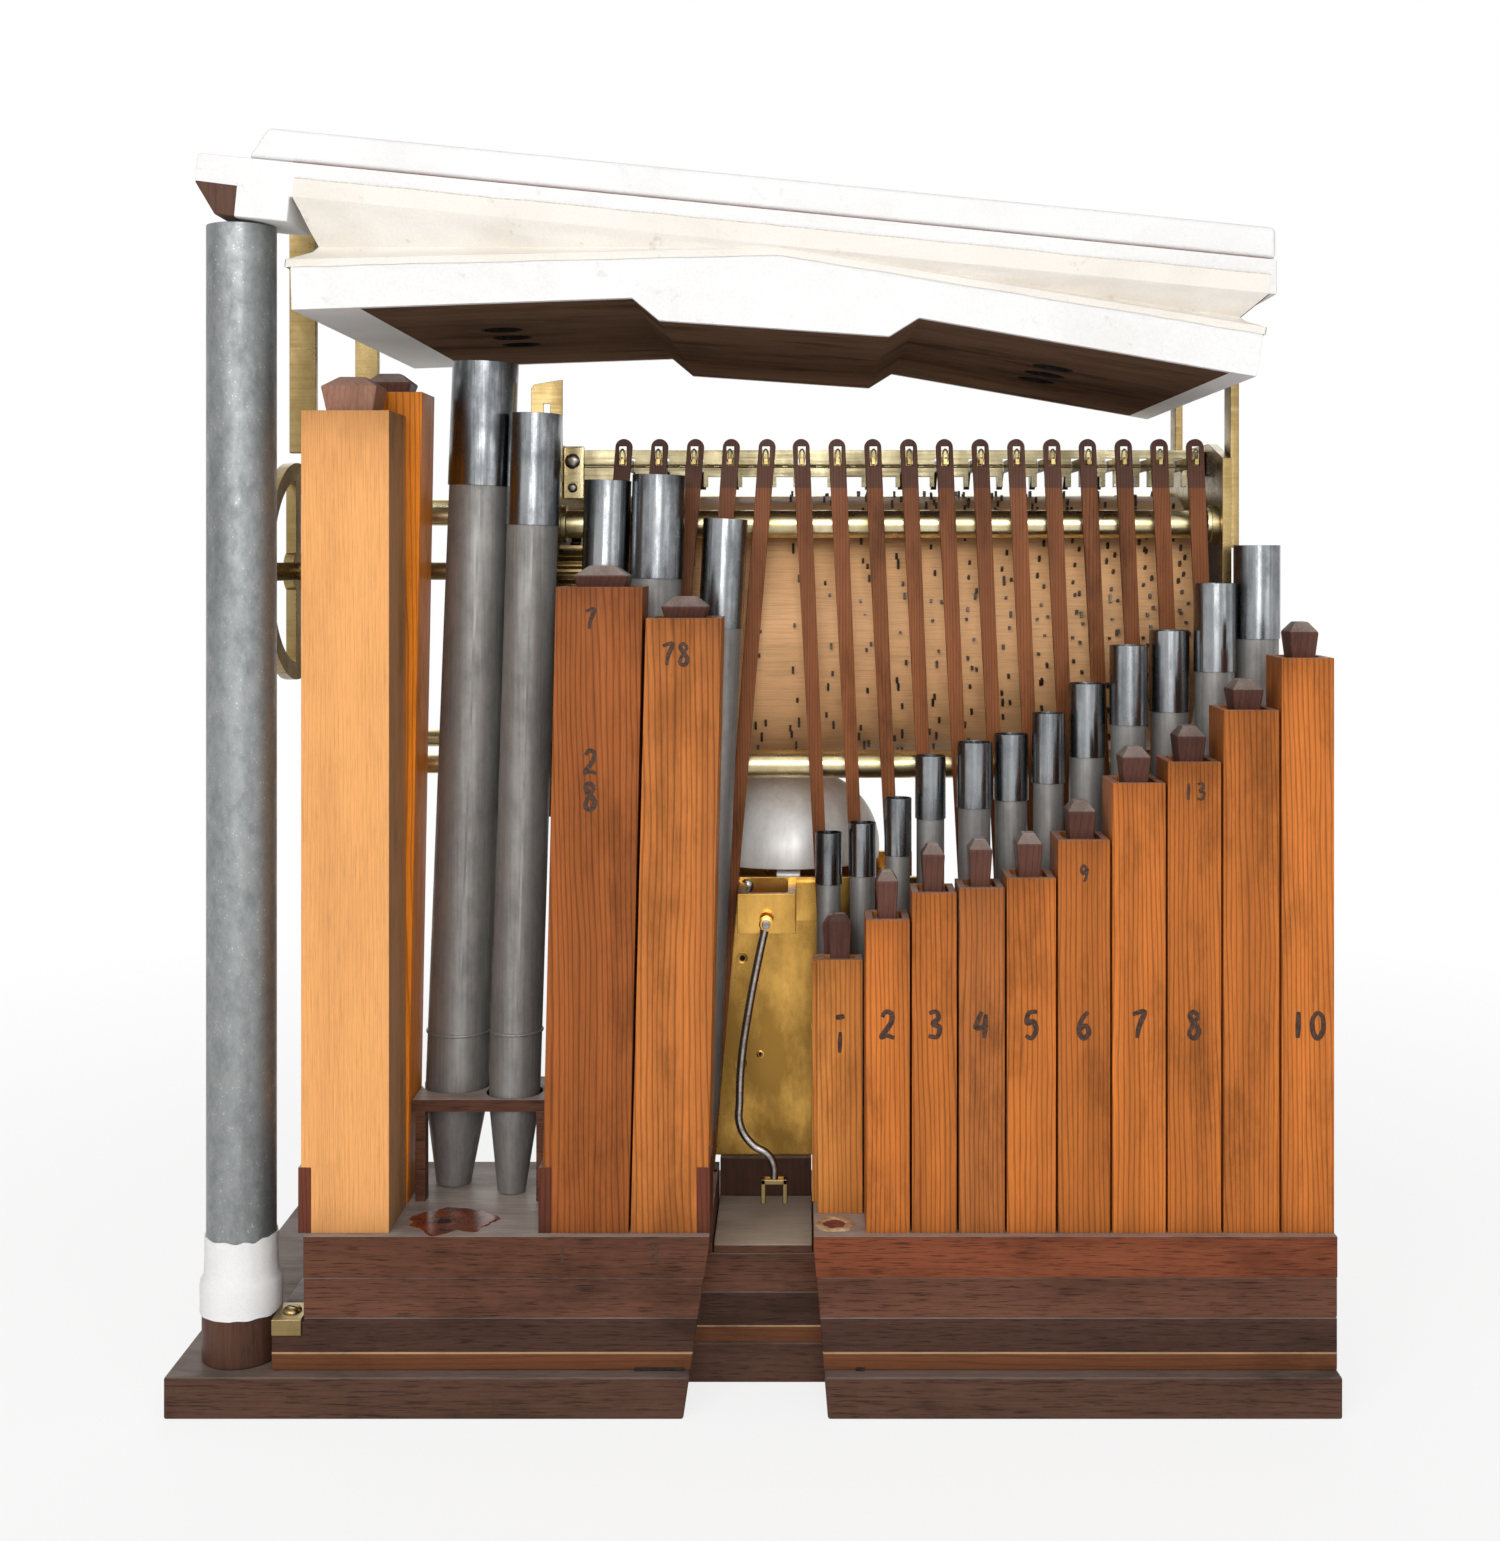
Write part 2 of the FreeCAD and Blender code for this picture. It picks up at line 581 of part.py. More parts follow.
def pipe_stoppers():
    made = []
    for number, (x, width, height, depth, setback, lean, _) in enumerate(wood_rank()):
        slope = lean / height
        wider = max(0.0, width - SMALL_PIPE_WIDTH)
        rise = max(HANDLE_RISE_MIN, HANDLE_RISE_SMALL - HANDLE_RISE_STEP * wider)
        if number == 0:
            rise = FIRST_HANDLE_RISE
        top_x = x + lean - slope * STOPPER_SUNK
        made.append(stopper(top_x, width, depth, setback, CHEST_TOP_Z + height, rise, slope))
    return made


# Metal pipes

def metal_rank():
    """Sizes of every metal pipe: (foot X, slide diameter, height, slide length, lean, setback)."""
    pipes = list(LEFT_METAL)
    for number, x in enumerate(RIGHT_METAL_X):
        height = RIGHT_METAL_HEIGHTS[number]
        setback = RIGHT_METAL_SETBACK + RIGHT_METAL_STAGGER * (number % 2)
        if number < SMALL_METAL_COUNT:
            setback = SMALL_METAL_SETBACK
        pipes.append((x, RIGHT_METAL_DIAMETERS[number], height, height * RIGHT_SLIDE_SHARE, 0.0, setback))
    return pipes


def leaned(shape, x, setback, height, lean):
    """Tips a pipe sideways about its foot so that its top is carried by lean."""
    foot = V(x, FRONT_Y + setback, CHEST_TOP_Z)
    shape.rotate(foot, V(0, 1, 0), math.degrees(math.atan2(lean, height)))
    return shape


def metal_pipe(x, diameter, height, slide_length, lean, setback):
    """Tube on a conical foot, open at the top, with a mouth cut in its back."""
    centre = V(x, FRONT_Y + setback, CHEST_TOP_Z + FOOT_SEAT_GAP)
    radius = diameter / 2 - SLIDE_WALL - SLIDE_FIT
    tip = radius * FOOT_TIP_SHARE
    top = height - FOOT_SEAT_GAP - slide_length * SLIDE_PROUD_SHARE
    outer = [(tip, 0), (radius, FOOT_LENGTH), (radius, top)]
    inner = [(radius - METAL_WALL, top), (radius - METAL_WALL, FOOT_LENGTH), (tip - METAL_WALL, 0)]
    pipe = revolved(outer + inner, centre)
    half = radius * MOUTH_WIDTH_SHARE
    low = centre.z + MOUTH_RISE + FOOT_LENGTH
    mouth = box(x - half, x + half, centre.y, centre.y + 2 * radius, low, low + diameter * MOUTH_HEIGHT_SHARE)
    return leaned(pipe.cut(mouth), x, setback, height, lean)


def tuning_slide(x, diameter, height, slide_length, lean, setback):
    """Sleeve round the top of a metal pipe, pushed up or down to tune it."""
    centre = V(x, FRONT_Y + setback, CHEST_TOP_Z + height - slide_length)
    outer = diameter / 2
    inner = outer - SLIDE_WALL
    sleeve = revolved([(inner, 0), (outer, 0), (outer, slide_length), (inner, slide_length)], centre)
    return leaned(sleeve, x, setback, height, lean)


def metal_pipes():
    return [metal_pipe(*pipe) for pipe in metal_rank()]


def tuning_slides():
    return [tuning_slide(*pipe) for pipe in metal_rank()]


def pipe_rack():
    """Board with a hole for each tall metal pipe, on two posts."""
    y0 = FRONT_Y + RACK_SETBACK
    z1 = CHEST_TOP_Z + RACK_TOP_RISE
    z0 = z1 - RACK_THICK
    board = box(RACK_LEFT_X, RACK_RIGHT_X, y0, y0 + RACK_DEPTH, z0, z1)
    for x, diameter, height, _, lean, setback in LEFT_METAL[:2]:
        radius = diameter / 2 + RACK_FIT
        at = x + lean * RACK_TOP_RISE / height
        low = V(at, FRONT_Y + setback, z0 - RACK_THICK / 2)
        board = board.cut(Part.makeCylinder(radius, 2 * RACK_THICK, low))
    posts = []
    for x in (RACK_LEFT_X + RACK_POST_INSET, RACK_RIGHT_X - RACK_POST_INSET - RACK_POST_WIDTH):
        posts.append(box(x, x + RACK_POST_WIDTH, y0, y0 + RACK_POST_DEPTH, CHEST_TOP_Z, z0))
    return [board] + posts


# Barrel frame

def frame_plate(x):
    """Upright brass plate on a leg, with bearing holes for the barrel and drive arbors."""
    y1 = PLATE_Y + PLATE_DEPTH
    leg_y = FRONT_Y + LEG_SETBACK
    outline = [
        (PLATE_Y, PLATE_BOTTOM_Z), (leg_y, PLATE_BOTTOM_Z - PLATE_FLARE), (leg_y, BASE_THICK),
        (leg_y + LEG_DEPTH, BASE_THICK), (leg_y + LEG_DEPTH, PLATE_BOTTOM_Z - PLATE_FLARE),
        (y1, PLATE_BOTTOM_Z), (y1, PLATE_TOP_Z), (PLATE_Y + PLATE_CORNER_RUN, PLATE_TOP_Z),
        (PLATE_Y, PLATE_TOP_Z - PLATE_CORNER_DROP),
    ]
    plate = prism_x(outline, x, x + PLATE_THICK)
    x0 = x - OVERCUT
    x1 = x + PLATE_THICK + OVERCUT
    barrel_hole = rod_x(x0, x1, BARREL_Y, BARREL_Z, ARBOR_RADIUS + RUNNING_FIT)
    drive_hole = rod_x(x0, x1, DRIVE_Y, DRIVE_Z, ARBOR_RADIUS + RUNNING_FIT)
    return plate.cut(barrel_hole), drive_hole


def frame_plates():
    left, drive_hole = frame_plate(LEFT_PLATE_X)
    outer, outer_hole = frame_plate(OUTER_PLATE_X)
    right, _ = frame_plate(RIGHT_PLATE_X)
    return [left.cut(drive_hole), outer.cut(outer_hole), right, catch_plate()]


def catch_plate():
    """Slotted brass tab on the front edge of the left plate, which catches the tune lever."""
    x = LEFT_PLATE_X + PLATE_THICK / 2
    half = CATCH_WIDTH / 2
    y1 = PLATE_Y
    z0 = PLATE_TOP_Z - CATCH_LAP
    z1 = PLATE_TOP_Z + CATCH_RISE
    outline = [(x - half, z0), (x + half, z0), (x + half, z1),
               (x - half + CATCH_CORNER_RUN, z1 - CATCH_SLANT), (x - half, z1 - CATCH_CORNER_DROP)]
    slot_z = PLATE_TOP_Z + CATCH_SLOT_RISE
    slot = box(x - CATCH_SLOT_WIDTH / 2, x + CATCH_SLOT_WIDTH / 2, y1 - 2 * CATCH_THICK, y1 + OVERCUT,
               slot_z, slot_z + CATCH_SLOT_LENGTH)
    return prism_y(outline, y1 - CATCH_THICK, y1).cut(slot)


def collared_rod(x0, x1, setback, z, radius, collar):
    y = FRONT_Y + setback
    bar = rod_x(x0, x1, y, z, radius)
    for start in (x0, x1 - ROD_COLLAR_LENGTH):
        bar = bar.fuse(rod_x(start, start + ROD_COLLAR_LENGTH, y, z, collar))
    return bar.removeSplitter()


def frame_pillars():
    """Four pillars along the barrel and four between the train plates."""
    inner_x = LEFT_PLATE_X + PLATE_THICK
    places = ((ROD_FRONT_SETBACK, ROD_TOP_Z), (ROD_FRONT_SETBACK, ROD_LOW_Z),
              (ROD_REAR_SETBACK, ROD_REAR_TOP_Z), (ROD_REAR_SETBACK, ROD_LOW_Z))
    pillars = [collared_rod(inner_x, RIGHT_PLATE_X, setback, z, ROD_RADIUS, ROD_COLLAR_RADIUS)
               for setback, z in places]
    train = ((ROD_FRONT_SETBACK, TRAIN_ROD_TOP_Z), (ROD_FRONT_SETBACK, ROD_LOW_Z),
             (ROD_REAR_SETBACK, ROD_REAR_TOP_Z), (ROD_REAR_SETBACK, ROD_LOW_Z))
    outer_x = OUTER_PLATE_X + PLATE_THICK
    return pillars + [collared_rod(outer_x, LEFT_PLATE_X, setback, z, TRAIN_ROD_RADIUS, ROD_COLLAR_RADIUS)
                      for setback, z in train]


# Barrel, arbor and gears

def gear_face(x, y, z, teeth, phase):
    """Straight-flanked clock gear outline in the YZ plane."""
    pitch_radius = GEAR_MODULE * teeth / 2
    tip = pitch_radius + ADDENDUM * GEAR_MODULE
    root = pitch_radius - DEDENDUM * GEAR_MODULE
    step = 2 * math.pi / teeth
    points = []
    for tooth in range(teeth):
        middle = phase + tooth * step
        for radius, offset in ((root, -TOOTH_ROOT_HALF), (tip, -TOOTH_TIP_HALF), (tip, TOOTH_TIP_HALF),
                               (root, TOOTH_ROOT_HALF)):
            angle = middle + offset * step
            points.append(V(x, y + radius * math.cos(angle), z + radius * math.sin(angle)))
    return face_of(points)


def barrel_body():
    body = rod_x(BARREL_LEFT_X, BARREL_RIGHT_X, BARREL_Y, BARREL_Z, BARREL_RADIUS)
    bore = rod_x(BARREL_LEFT_X - OVERCUT, BARREL_RIGHT_X + OVERCUT, BARREL_Y, BARREL_Z,
                 ARBOR_RADIUS + RUNNING_FIT)
    return [body.cut(bore)]


def barrel_pins():
    """Pins and short bridges: one track for each key and tune, spread by a fixed step round the barrel."""
    pins = []
    for key_number in range(KEY_COUNT):
        for tune in range(TUNES):
            x = sticker_centre(key_number) - TUNE_SHIFT * (tune + 1)
            for note in range(NOTES_PER_TRACK):
                turn = TRACK_TURN_DEG * (key_number * TRACK_KEY_STEP + tune * TRACK_TUNE_STEP)
                turn += 360.0 / NOTES_PER_TRACK * note + NOTE_TURN_DEG * (note * note + tune)
                length = PIN_LENGTH * (1 + (key_number + note + tune) % 3)
                pin = box(x - PIN_THICK / 2, x + PIN_THICK / 2, BARREL_Y - length / 2, BARREL_Y + length / 2,
                          BARREL_Z + BARREL_RADIUS, BARREL_Z + BARREL_RADIUS + PIN_HEIGHT)
                pin.rotate(V(0, BARREL_Y, BARREL_Z), V(1, 0, 0), turn % 360.0)
                pins.append(pin)
    return pins


def barrel_arbor():
    x0 = LEFT_PLATE_X - ARBOR_STANDS_OUT
    x1 = RIGHT_PLATE_X + PLATE_THICK + ARBOR_STANDS_OUT
    return [rod_x(x0, x1, BARREL_Y, BARREL_Z, ARBOR_RADIUS)]


def mesh_angle():
    """Direction from the barrel axis to the drive axis in the YZ plane."""
    return math.atan2(DRIVE_Z - BARREL_Z, DRIVE_Y - BARREL_Y)


def barrel_wheel():
    outline = gear_face(WHEEL_LEFT_X, BARREL_Y, BARREL_Z, BARREL_TEETH, mesh_angle())
    wheel = outline.extrude(V(WHEEL_THICK, 0, 0))
    hub = rod_x(WHEEL_LEFT_X + WHEEL_THICK, BARREL_LEFT_X, BARREL_Y, BARREL_Z, HUB_RADIUS)
    bore = rod_x(WHEEL_LEFT_X - OVERCUT, BARREL_LEFT_X + OVERCUT, BARREL_Y, BARREL_Z,
                 ARBOR_RADIUS + RUNNING_FIT)
    return [wheel.fuse(hub).cut(bore)]


def crossed_wheel():
    """Large wheel outside the frame, with four windows between its crossings."""
    x0 = DRIVE_WHEEL_X
    x1 = DRIVE_WHEEL_X + WHEEL_THICK
    windows = rod_x(x0, x1, DRIVE_Y, DRIVE_Z, DRIVE_WHEEL_RADIUS - RIM_WIDTH)
    windows = windows.cut(rod_x(x0, x1, DRIVE_Y, DRIVE_Z, HUB_RADIUS))
    half = SPOKE_WIDTH / 2
    for reach_y, reach_z in ((DRIVE_WHEEL_RADIUS, half), (half, DRIVE_WHEEL_RADIUS)):
        windows = windows.cut(box(x0, x1, DRIVE_Y - reach_y, DRIVE_Y + reach_y, DRIVE_Z - reach_z,
                                  DRIVE_Z + reach_z))
    return rod_x(x0, x1, DRIVE_Y, DRIVE_Z, DRIVE_WHEEL_RADIUS).cut(windows)


def drive_arbor():
    """Arbor with the pinion that turns the barrel and the large wheel outside the frame."""
    x0 = DRIVE_WHEEL_X - DRIVE_ARBOR_OUT
    x1 = PINION_LEFT_X + PINION_LENGTH + DRIVE_ARBOR_TIP
    arbor = rod_x(x0, x1, DRIVE_Y, DRIVE_Z, ARBOR_RADIUS)
    bore = rod_x(x0, x1, DRIVE_Y, DRIVE_Z, ARBOR_RADIUS + RUNNING_FIT)
    half_tooth = math.pi / PINION_TEETH
    outline = gear_face(PINION_LEFT_X, DRIVE_Y, DRIVE_Z, PINION_TEETH, mesh_angle() + math.pi + half_tooth)
    pinion = outline.extrude(V(PINION_LENGTH, 0, 0))
    return [arbor, pinion.cut(bore), crossed_wheel().cut(bore)]


# Keys and stickers

def key_bar():
    """Brass bar across the frame, slotted for the keys, with a grooved face for their pivot wires."""
    x0 = LEFT_PLATE_X + PLATE_THICK
    y1 = KEY_BAR_Y + KEY_BAR_THICK
    bar = box(x0, RIGHT_PLATE_X, KEY_BAR_Y, y1, KEY_BAR_BOTTOM_Z, KEY_BAR_TOP_Z)
    bar = bar.cut(rod_x(x0 - OVERCUT, RIGHT_PLATE_X + OVERCUT, KEY_BAR_Y, KEY_PIVOT_Z,
                        KEY_WIRE_RADIUS + RUNNING_FIT))
    half = KEY_THICK / 2 + KEY_SLOT_CLEAR
    slot_top = KEY_PIVOT_Z + KEY_HEIGHT / 2 + KEY_SLOT_HEADROOM
    cut_y0 = KEY_BAR_Y - OVERCUT
    cut_y1 = y1 + OVERCUT
    cut_z = KEY_BAR_BOTTOM_Z - OVERCUT
    for index in range(KEY_COUNT):
        x = sticker_centre(index)
        bar = bar.cut(box(x - half, x + half, cut_y0, cut_y1, cut_z, slot_top))
        window = x + KEY_PITCH / 2
        bar = bar.cut(box(window - WINDOW_WIDTH / 2, window + WINDOW_WIDTH / 2, cut_y0, cut_y1,
                          cut_z, KEY_BAR_BOTTOM_Z + WINDOW_HEIGHT))
    return [bar]


def key(index):
    """Lever on a pivot wire: a tail through the sticker's eye in front, a beak over the barrel behind."""
    x = sticker_centre(index)
    beak_y = BARREL_Y
    beak_z = BARREL_Z + BARREL_RADIUS + PIN_HEIGHT + KEY_BEAK_CLEAR
    half = KEY_HEIGHT / 2
    tail_y = STICKER_Y - KEY_TAIL_REACH
    arm_y = STICKER_Y + STICKER_THICK + KEY_ARM_CLEAR
    z = KEY_PIVOT_Z
    arm = [(arm_y, z - half), (beak_y - KEY_BEAK_RUN, z - half), (beak_y - KEY_BEAK_HALF, beak_z),
           (beak_y + KEY_BEAK_HALF, beak_z), (beak_y + KEY_BEAK_BACK, z), (beak_y + KEY_BEAK_HALF, z + half),
           (arm_y, z + half)]
    lever = prism_x(arm, x - KEY_THICK / 2, x + KEY_THICK / 2)
    tail = box(x - KEY_TAIL_WIDTH / 2, x + KEY_TAIL_WIDTH / 2, tail_y, arm_y + OVERCUT,
               z - KEY_TAIL_HEIGHT / 2, z + KEY_TAIL_HEIGHT / 2)
    wire = rod_x(x - KEY_WIRE_LENGTH / 2, x + KEY_WIRE_LENGTH / 2, KEY_BAR_Y, z, KEY_WIRE_RADIUS)
    return [lever.fuse(tail).fuse(wire).removeSplitter()]


def sticker(index):
    """Flat tapered wooden rod with a round head, an eye for the key's tail and a straight foot."""
    y0 = STICKER_Y
    top = STICKER_TOP_WIDTH / 2
    foot = STICKER_FOOT_WIDTH / 2
    head_z = STICKER_TOP_Z - top
    straight_z = STICKER_FOOT_Z + STICKER_STRAIGHT

    def at(offset, z):
        return V(sticker_x_at(index, z) + offset, y0, z)
    low_left, low_right = at(-foot, STICKER_FOOT_Z), at(foot, STICKER_FOOT_Z)
    mid_left, mid_right = at(-foot, straight_z), at(foot, straight_z)
    head_left, head_right = at(-top, head_z), at(top, head_z)
    crown = V(sticker_x_at(index, STICKER_TOP_Z), y0, STICKER_TOP_Z)
    edges = [Part.LineSegment(a, b).toShape() for a, b in (
        (low_left, low_right), (low_right, mid_right), (mid_right, head_right))]
    edges.append(Part.Arc(head_right, crown, head_left).toShape())
    edges += [Part.LineSegment(a, b).toShape() for a, b in ((head_left, mid_left), (mid_left, low_left))]
    blade = Part.Face(Part.Wire(edges)).extrude(V(0, STICKER_THICK, 0))
    eye_low = KEY_PIVOT_Z - KEY_TAIL_HEIGHT / 2 - STICKER_EYE_CLEAR
    eye_x = sticker_x_at(index, KEY_PIVOT_Z)
    eye_high = min(eye_low + STICKER_EYE_HEIGHT, STICKER_TOP_Z - STICKER_EYE_ROOF)
    eye = box(eye_x - STICKER_EYE_WIDTH / 2, eye_x + STICKER_EYE_WIDTH / 2, y0 - OVERCUT,
              y0 + STICKER_THICK + OVERCUT, eye_low, eye_high)
    return [blade.cut(eye)]


# Clock movement, bell and crutch

def clock_movement():
    """Back and front plates on pillars, a few wheels between them, and the back cock."""
    x0 = CLOCK_X - CLOCK_WIDTH / 2
    y0 = FRONT_Y + CLOCK_SETBACK
    z0 = CLOCK_BOTTOM_Z
    z1 = z0 + CLOCK_HEIGHT
    back = box(x0, x0 + CLOCK_WIDTH, y0, y0 + CLOCK_PLATE_THICK, z0, z1)
    gap_y = y0 + CLOCK_PLATE_THICK
    front_y = gap_y + CLOCK_GAP
    front = box(x0, x0 + CLOCK_WIDTH, front_y, front_y + CLOCK_PLATE_THICK, z0, z1)
    made = [back, front]
    for dx in (CLOCK_PILLAR_INSET, CLOCK_WIDTH - CLOCK_PILLAR_INSET):
        for dz in (CLOCK_PILLAR_INSET, CLOCK_HEIGHT - CLOCK_PILLAR_INSET):
            made.append(rod(V(x0 + dx, gap_y, z0 + dz), V(x0 + dx, front_y, z0 + dz), CLOCK_PILLAR_RADIUS))
    for number, (dx, dz, radius) in enumerate(WHEEL_SET):
        centre = V(CLOCK_X + dx, gap_y, z0 + dz)
        arbor = rod(centre, centre + V(0, CLOCK_GAP, 0), CLOCK_ARBOR_RADIUS)
        at = centre + V(0, CLOCK_WHEEL_FIRST + CLOCK_WHEEL_STEP * number, 0)
        through = at + V(0, CLOCK_WHEEL_THICK, 0)
        wheel = rod(at, through, radius).cut(rod(at, through, CLOCK_ARBOR_RADIUS + RUNNING_FIT))
        made += [arbor, wheel]
    return made + [back_cock()]


def back_cock():
    """Bridge screwed to the back plate, whose front wall carries the crutch arbor."""
    y1 = FRONT_Y + CLOCK_SETBACK
    y0 = y1 - COCK_REACH
    half = COCK_WIDTH / 2
    z0 = COCK_Z - COCK_HEIGHT / 2
    z1 = COCK_Z + COCK_HEIGHT / 2
    body = box(CLOCK_X - half, CLOCK_X + half, y0, y1, z0, z1)
    hollow = box(CLOCK_X - half + COCK_WALL, CLOCK_X + half - COCK_WALL, y0 + COCK_WALL, y1,
                 z0 - OVERCUT, z1 + OVERCUT)
    feet = box(CLOCK_X - half - COCK_FOOT, CLOCK_X + half + COCK_FOOT, y1 - COCK_WALL, y1, z0, z1)
    hole = rod(V(CLOCK_X, y0 - OVERCUT, CRUTCH_PIVOT_Z), V(CLOCK_X, y0 + COCK_WALL + OVERCUT, CRUTCH_PIVOT_Z),
               CRUTCH_ARBOR_RADIUS + RUNNING_FIT)
    return body.cut(hollow).fuse(feet.cut(hollow)).cut(hole).removeSplitter()


def crutch():
    """Bent steel wire on its arbor, ending in a fork that would embrace the pendulum rod."""
    y = FRONT_Y + CRUTCH_SETBACK
    cock_y = FRONT_Y + CLOCK_SETBACK - COCK_REACH
    z = CRUTCH_PIVOT_Z
    arbor = rod(V(CLOCK_X, y - CRUTCH_ARBOR_OUT, z), V(CLOCK_X, cock_y + COCK_WALL + CRUTCH_ARBOR_IN, z),
                CRUTCH_ARBOR_RADIUS)
    boss = rod(V(CLOCK_X, y - CRUTCH_BOSS_HALF, z), V(CLOCK_X, y + CRUTCH_BOSS_HALF, z), CRUTCH_BOSS_RADIUS)
    fork_top = CRUTCH_FORK_Z + CRUTCH_FORK_HEIGHT
    x = CLOCK_X + CRUTCH_FORK_DX
    bends = [V(CLOCK_X + dx, y, z - down) for dx, down in CRUTCH_BENDS]
    path = [V(CLOCK_X, y, z)] + bends + [V(x, y, fork_top)]
    wire = rod(path[0], path[1], CRUTCH_WIRE_RADIUS)
    for a, b in zip(path[1:], path[2:]):
        wire = wire.fuse(Part.makeSphere(CRUTCH_WIRE_RADIUS, a)).fuse(rod(a, b, CRUTCH_WIRE_RADIUS))
    half = CRUTCH_FORK_WIDTH / 2
    depth = CRUTCH_FORK_HALF_DEPTH
    gap = half - CRUTCH_FORK_WALL
    bridge_z = fork_top + OVERCUT
    fork = box(x - half, x + half, y - depth, y + depth, CRUTCH_FORK_Z, bridge_z)
    fork = fork.cut(box(x - gap, x + gap, y - depth - OVERCUT, y + depth + OVERCUT, CRUTCH_FORK_Z - OVERCUT,
                        bridge_z - CRUTCH_FORK_BRIDGE))
    return [arbor.fuse(boss).fuse(wire).fuse(fork).removeSplitter()]


def bell():
    """Cast bell, mouth down, on a stud that stands on a strap across the two clock plates."""
    centre = V(BELL_X, FRONT_Y + BELL_SETBACK, BELL_LIP_Z)

    def bow(radius, height):
        """Lip, waist and crown of one side of the bell's wall."""
        waist = V(radius * BELL_WAIST, 0, height * BELL_SHOULDER)
        return (V(radius, 0, 0), waist, V(BELL_STUD_RADIUS, 0, height))
    outer = bow(BELL_RADIUS, BELL_HEIGHT)
    inner = bow(BELL_RADIUS - BELL_WALL, BELL_HEIGHT - BELL_WALL)
    edges = [Part.Arc(*outer).toShape(), Part.LineSegment(outer[2], inner[2]).toShape(),
             Part.Arc(*reversed(inner)).toShape(), Part.LineSegment(inner[0], outer[0]).toShape()]
    dome = Part.Face(Part.Wire(edges)).revolve(V(0, 0, 0), V(0, 0, 1), 360)
    dome.translate(centre)
    plate_top = CLOCK_BOTTOM_Z + CLOCK_HEIGHT
    bridge_y0 = FRONT_Y + CLOCK_SETBACK
    bridge_y1 = bridge_y0 + CLOCK_GAP + 2 * CLOCK_PLATE_THICK
    half = BELL_BRIDGE_WIDTH / 2
    bridge = box(BELL_X - half, BELL_X + half, bridge_y0, bridge_y1, plate_top, plate_top + BELL_BRIDGE_THICK)
    crown_z = BELL_LIP_Z + BELL_HEIGHT
    stud = rod(V(BELL_X, centre.y, plate_top), V(BELL_X, centre.y, crown_z), BELL_STUD_RADIUS)
    return [dome, bridge.fuse(stud).removeSplitter()]


# Bellows

def tilted(shape):
    """Carries a shape drawn in bellows coordinates (U along the frame, W up) to its place."""
    shape.rotate(V(0, 0, 0), V(0, 1, 0), BELLOWS_TILT_DEG)
    shape.translate(V(BELLOWS_PIVOT_X, 0, BELLOWS_PIVOT_Z))
    return shape


def bellows_span():
    y0 = FRONT_Y + BELLOWS_SETBACK
    return y0, y0 + BELLOWS_DEPTH


def right_end():
    """Block that trims the right end of the bellows boards square to the right-hand straps."""
    return box(FRAME_RIGHT_X, FRAME_RIGHT_X + BASE_WIDTH, -BASE_DEPTH, BASE_DEPTH, 0, 2 * BELLOWS_PIVOT_Z)


def bellows_frame():
    """Middle board of the bellows, with the lug that sits on the wind trunk."""
    y0, y1 = bellows_span()
    board = prism_y([(FRAME_LEFT_U, 0), (FRAME_RIGHT_U, 0), (FRAME_RIGHT_U, FRAME_THICK),
                     (FRAME_LEFT_U, FRAME_THICK)], y0, y1)
    left = FRAME_LEFT_U - LUG_LENGTH
    root = FRAME_LEFT_U + OVERCUT
    lug = prism_y([(root, -LUG_BASE_THICK), (left + LUG_TOE_RUN, -LUG_BASE_THICK), (left, LUG_TOE_RISE),
                   (left, FRAME_THICK), (root, FRAME_THICK)], y0, y0 + LUG_DEPTH)
    return [tilted(board.fuse(lug).removeSplitter()).cut(right_end())]


def reservoir_board():
    y0, y1 = bellows_span()
    w0 = FRAME_THICK + RESERVOIR_GAP
    w1 = w0 + RESERVOIR_THICK
    outline = [(RESERVOIR_LEFT_U, w0), (FRAME_RIGHT_U, w0), (FRAME_RIGHT_U, w1),
               (RESERVOIR_LEFT_U + RESERVOIR_SLANT, w1)]
    return [tilted(prism_y(outline, y0 + RESERVOIR_INSET, y1)).cut(right_end())]


def wing_point(side, u, w):
    """A point of a feeder wing: u out from the pivot, w below the wing's top face, at the resting rock."""
    angle = math.radians(-FEEDER_DROP_DEG)
    x = side * (u * math.cos(angle) + w * math.sin(angle))
    z = u * math.sin(angle) - w * math.cos(angle) - FEEDER_GAP
    rock = math.radians(FEEDER_ROCK_DEG)
    return (x * math.cos(rock) - z * math.sin(rock), x * math.sin(rock) + z * math.cos(rock))


def wing_length(side):
    """How far a feeder wing reaches: the right one stops short of the right-hand straps."""
    return FEEDER_LEFT_LENGTH if side < 0 else FEEDER_RIGHT_LENGTH


def wing_outline(side):
    """One wing from the thick middle, along its tapered underside, to the top of its end."""
    end = wing_length(side)
    inner = FEEDER_CENTRE_HALF
    profile = [(inner, FEEDER_CENTRE_THICK), (inner + FEEDER_STEP_RUN, FEEDER_THICK), (end, FEEDER_END_THICK),
               (end, 0)]
    return [wing_point(side, u, w) for u, w in profile]


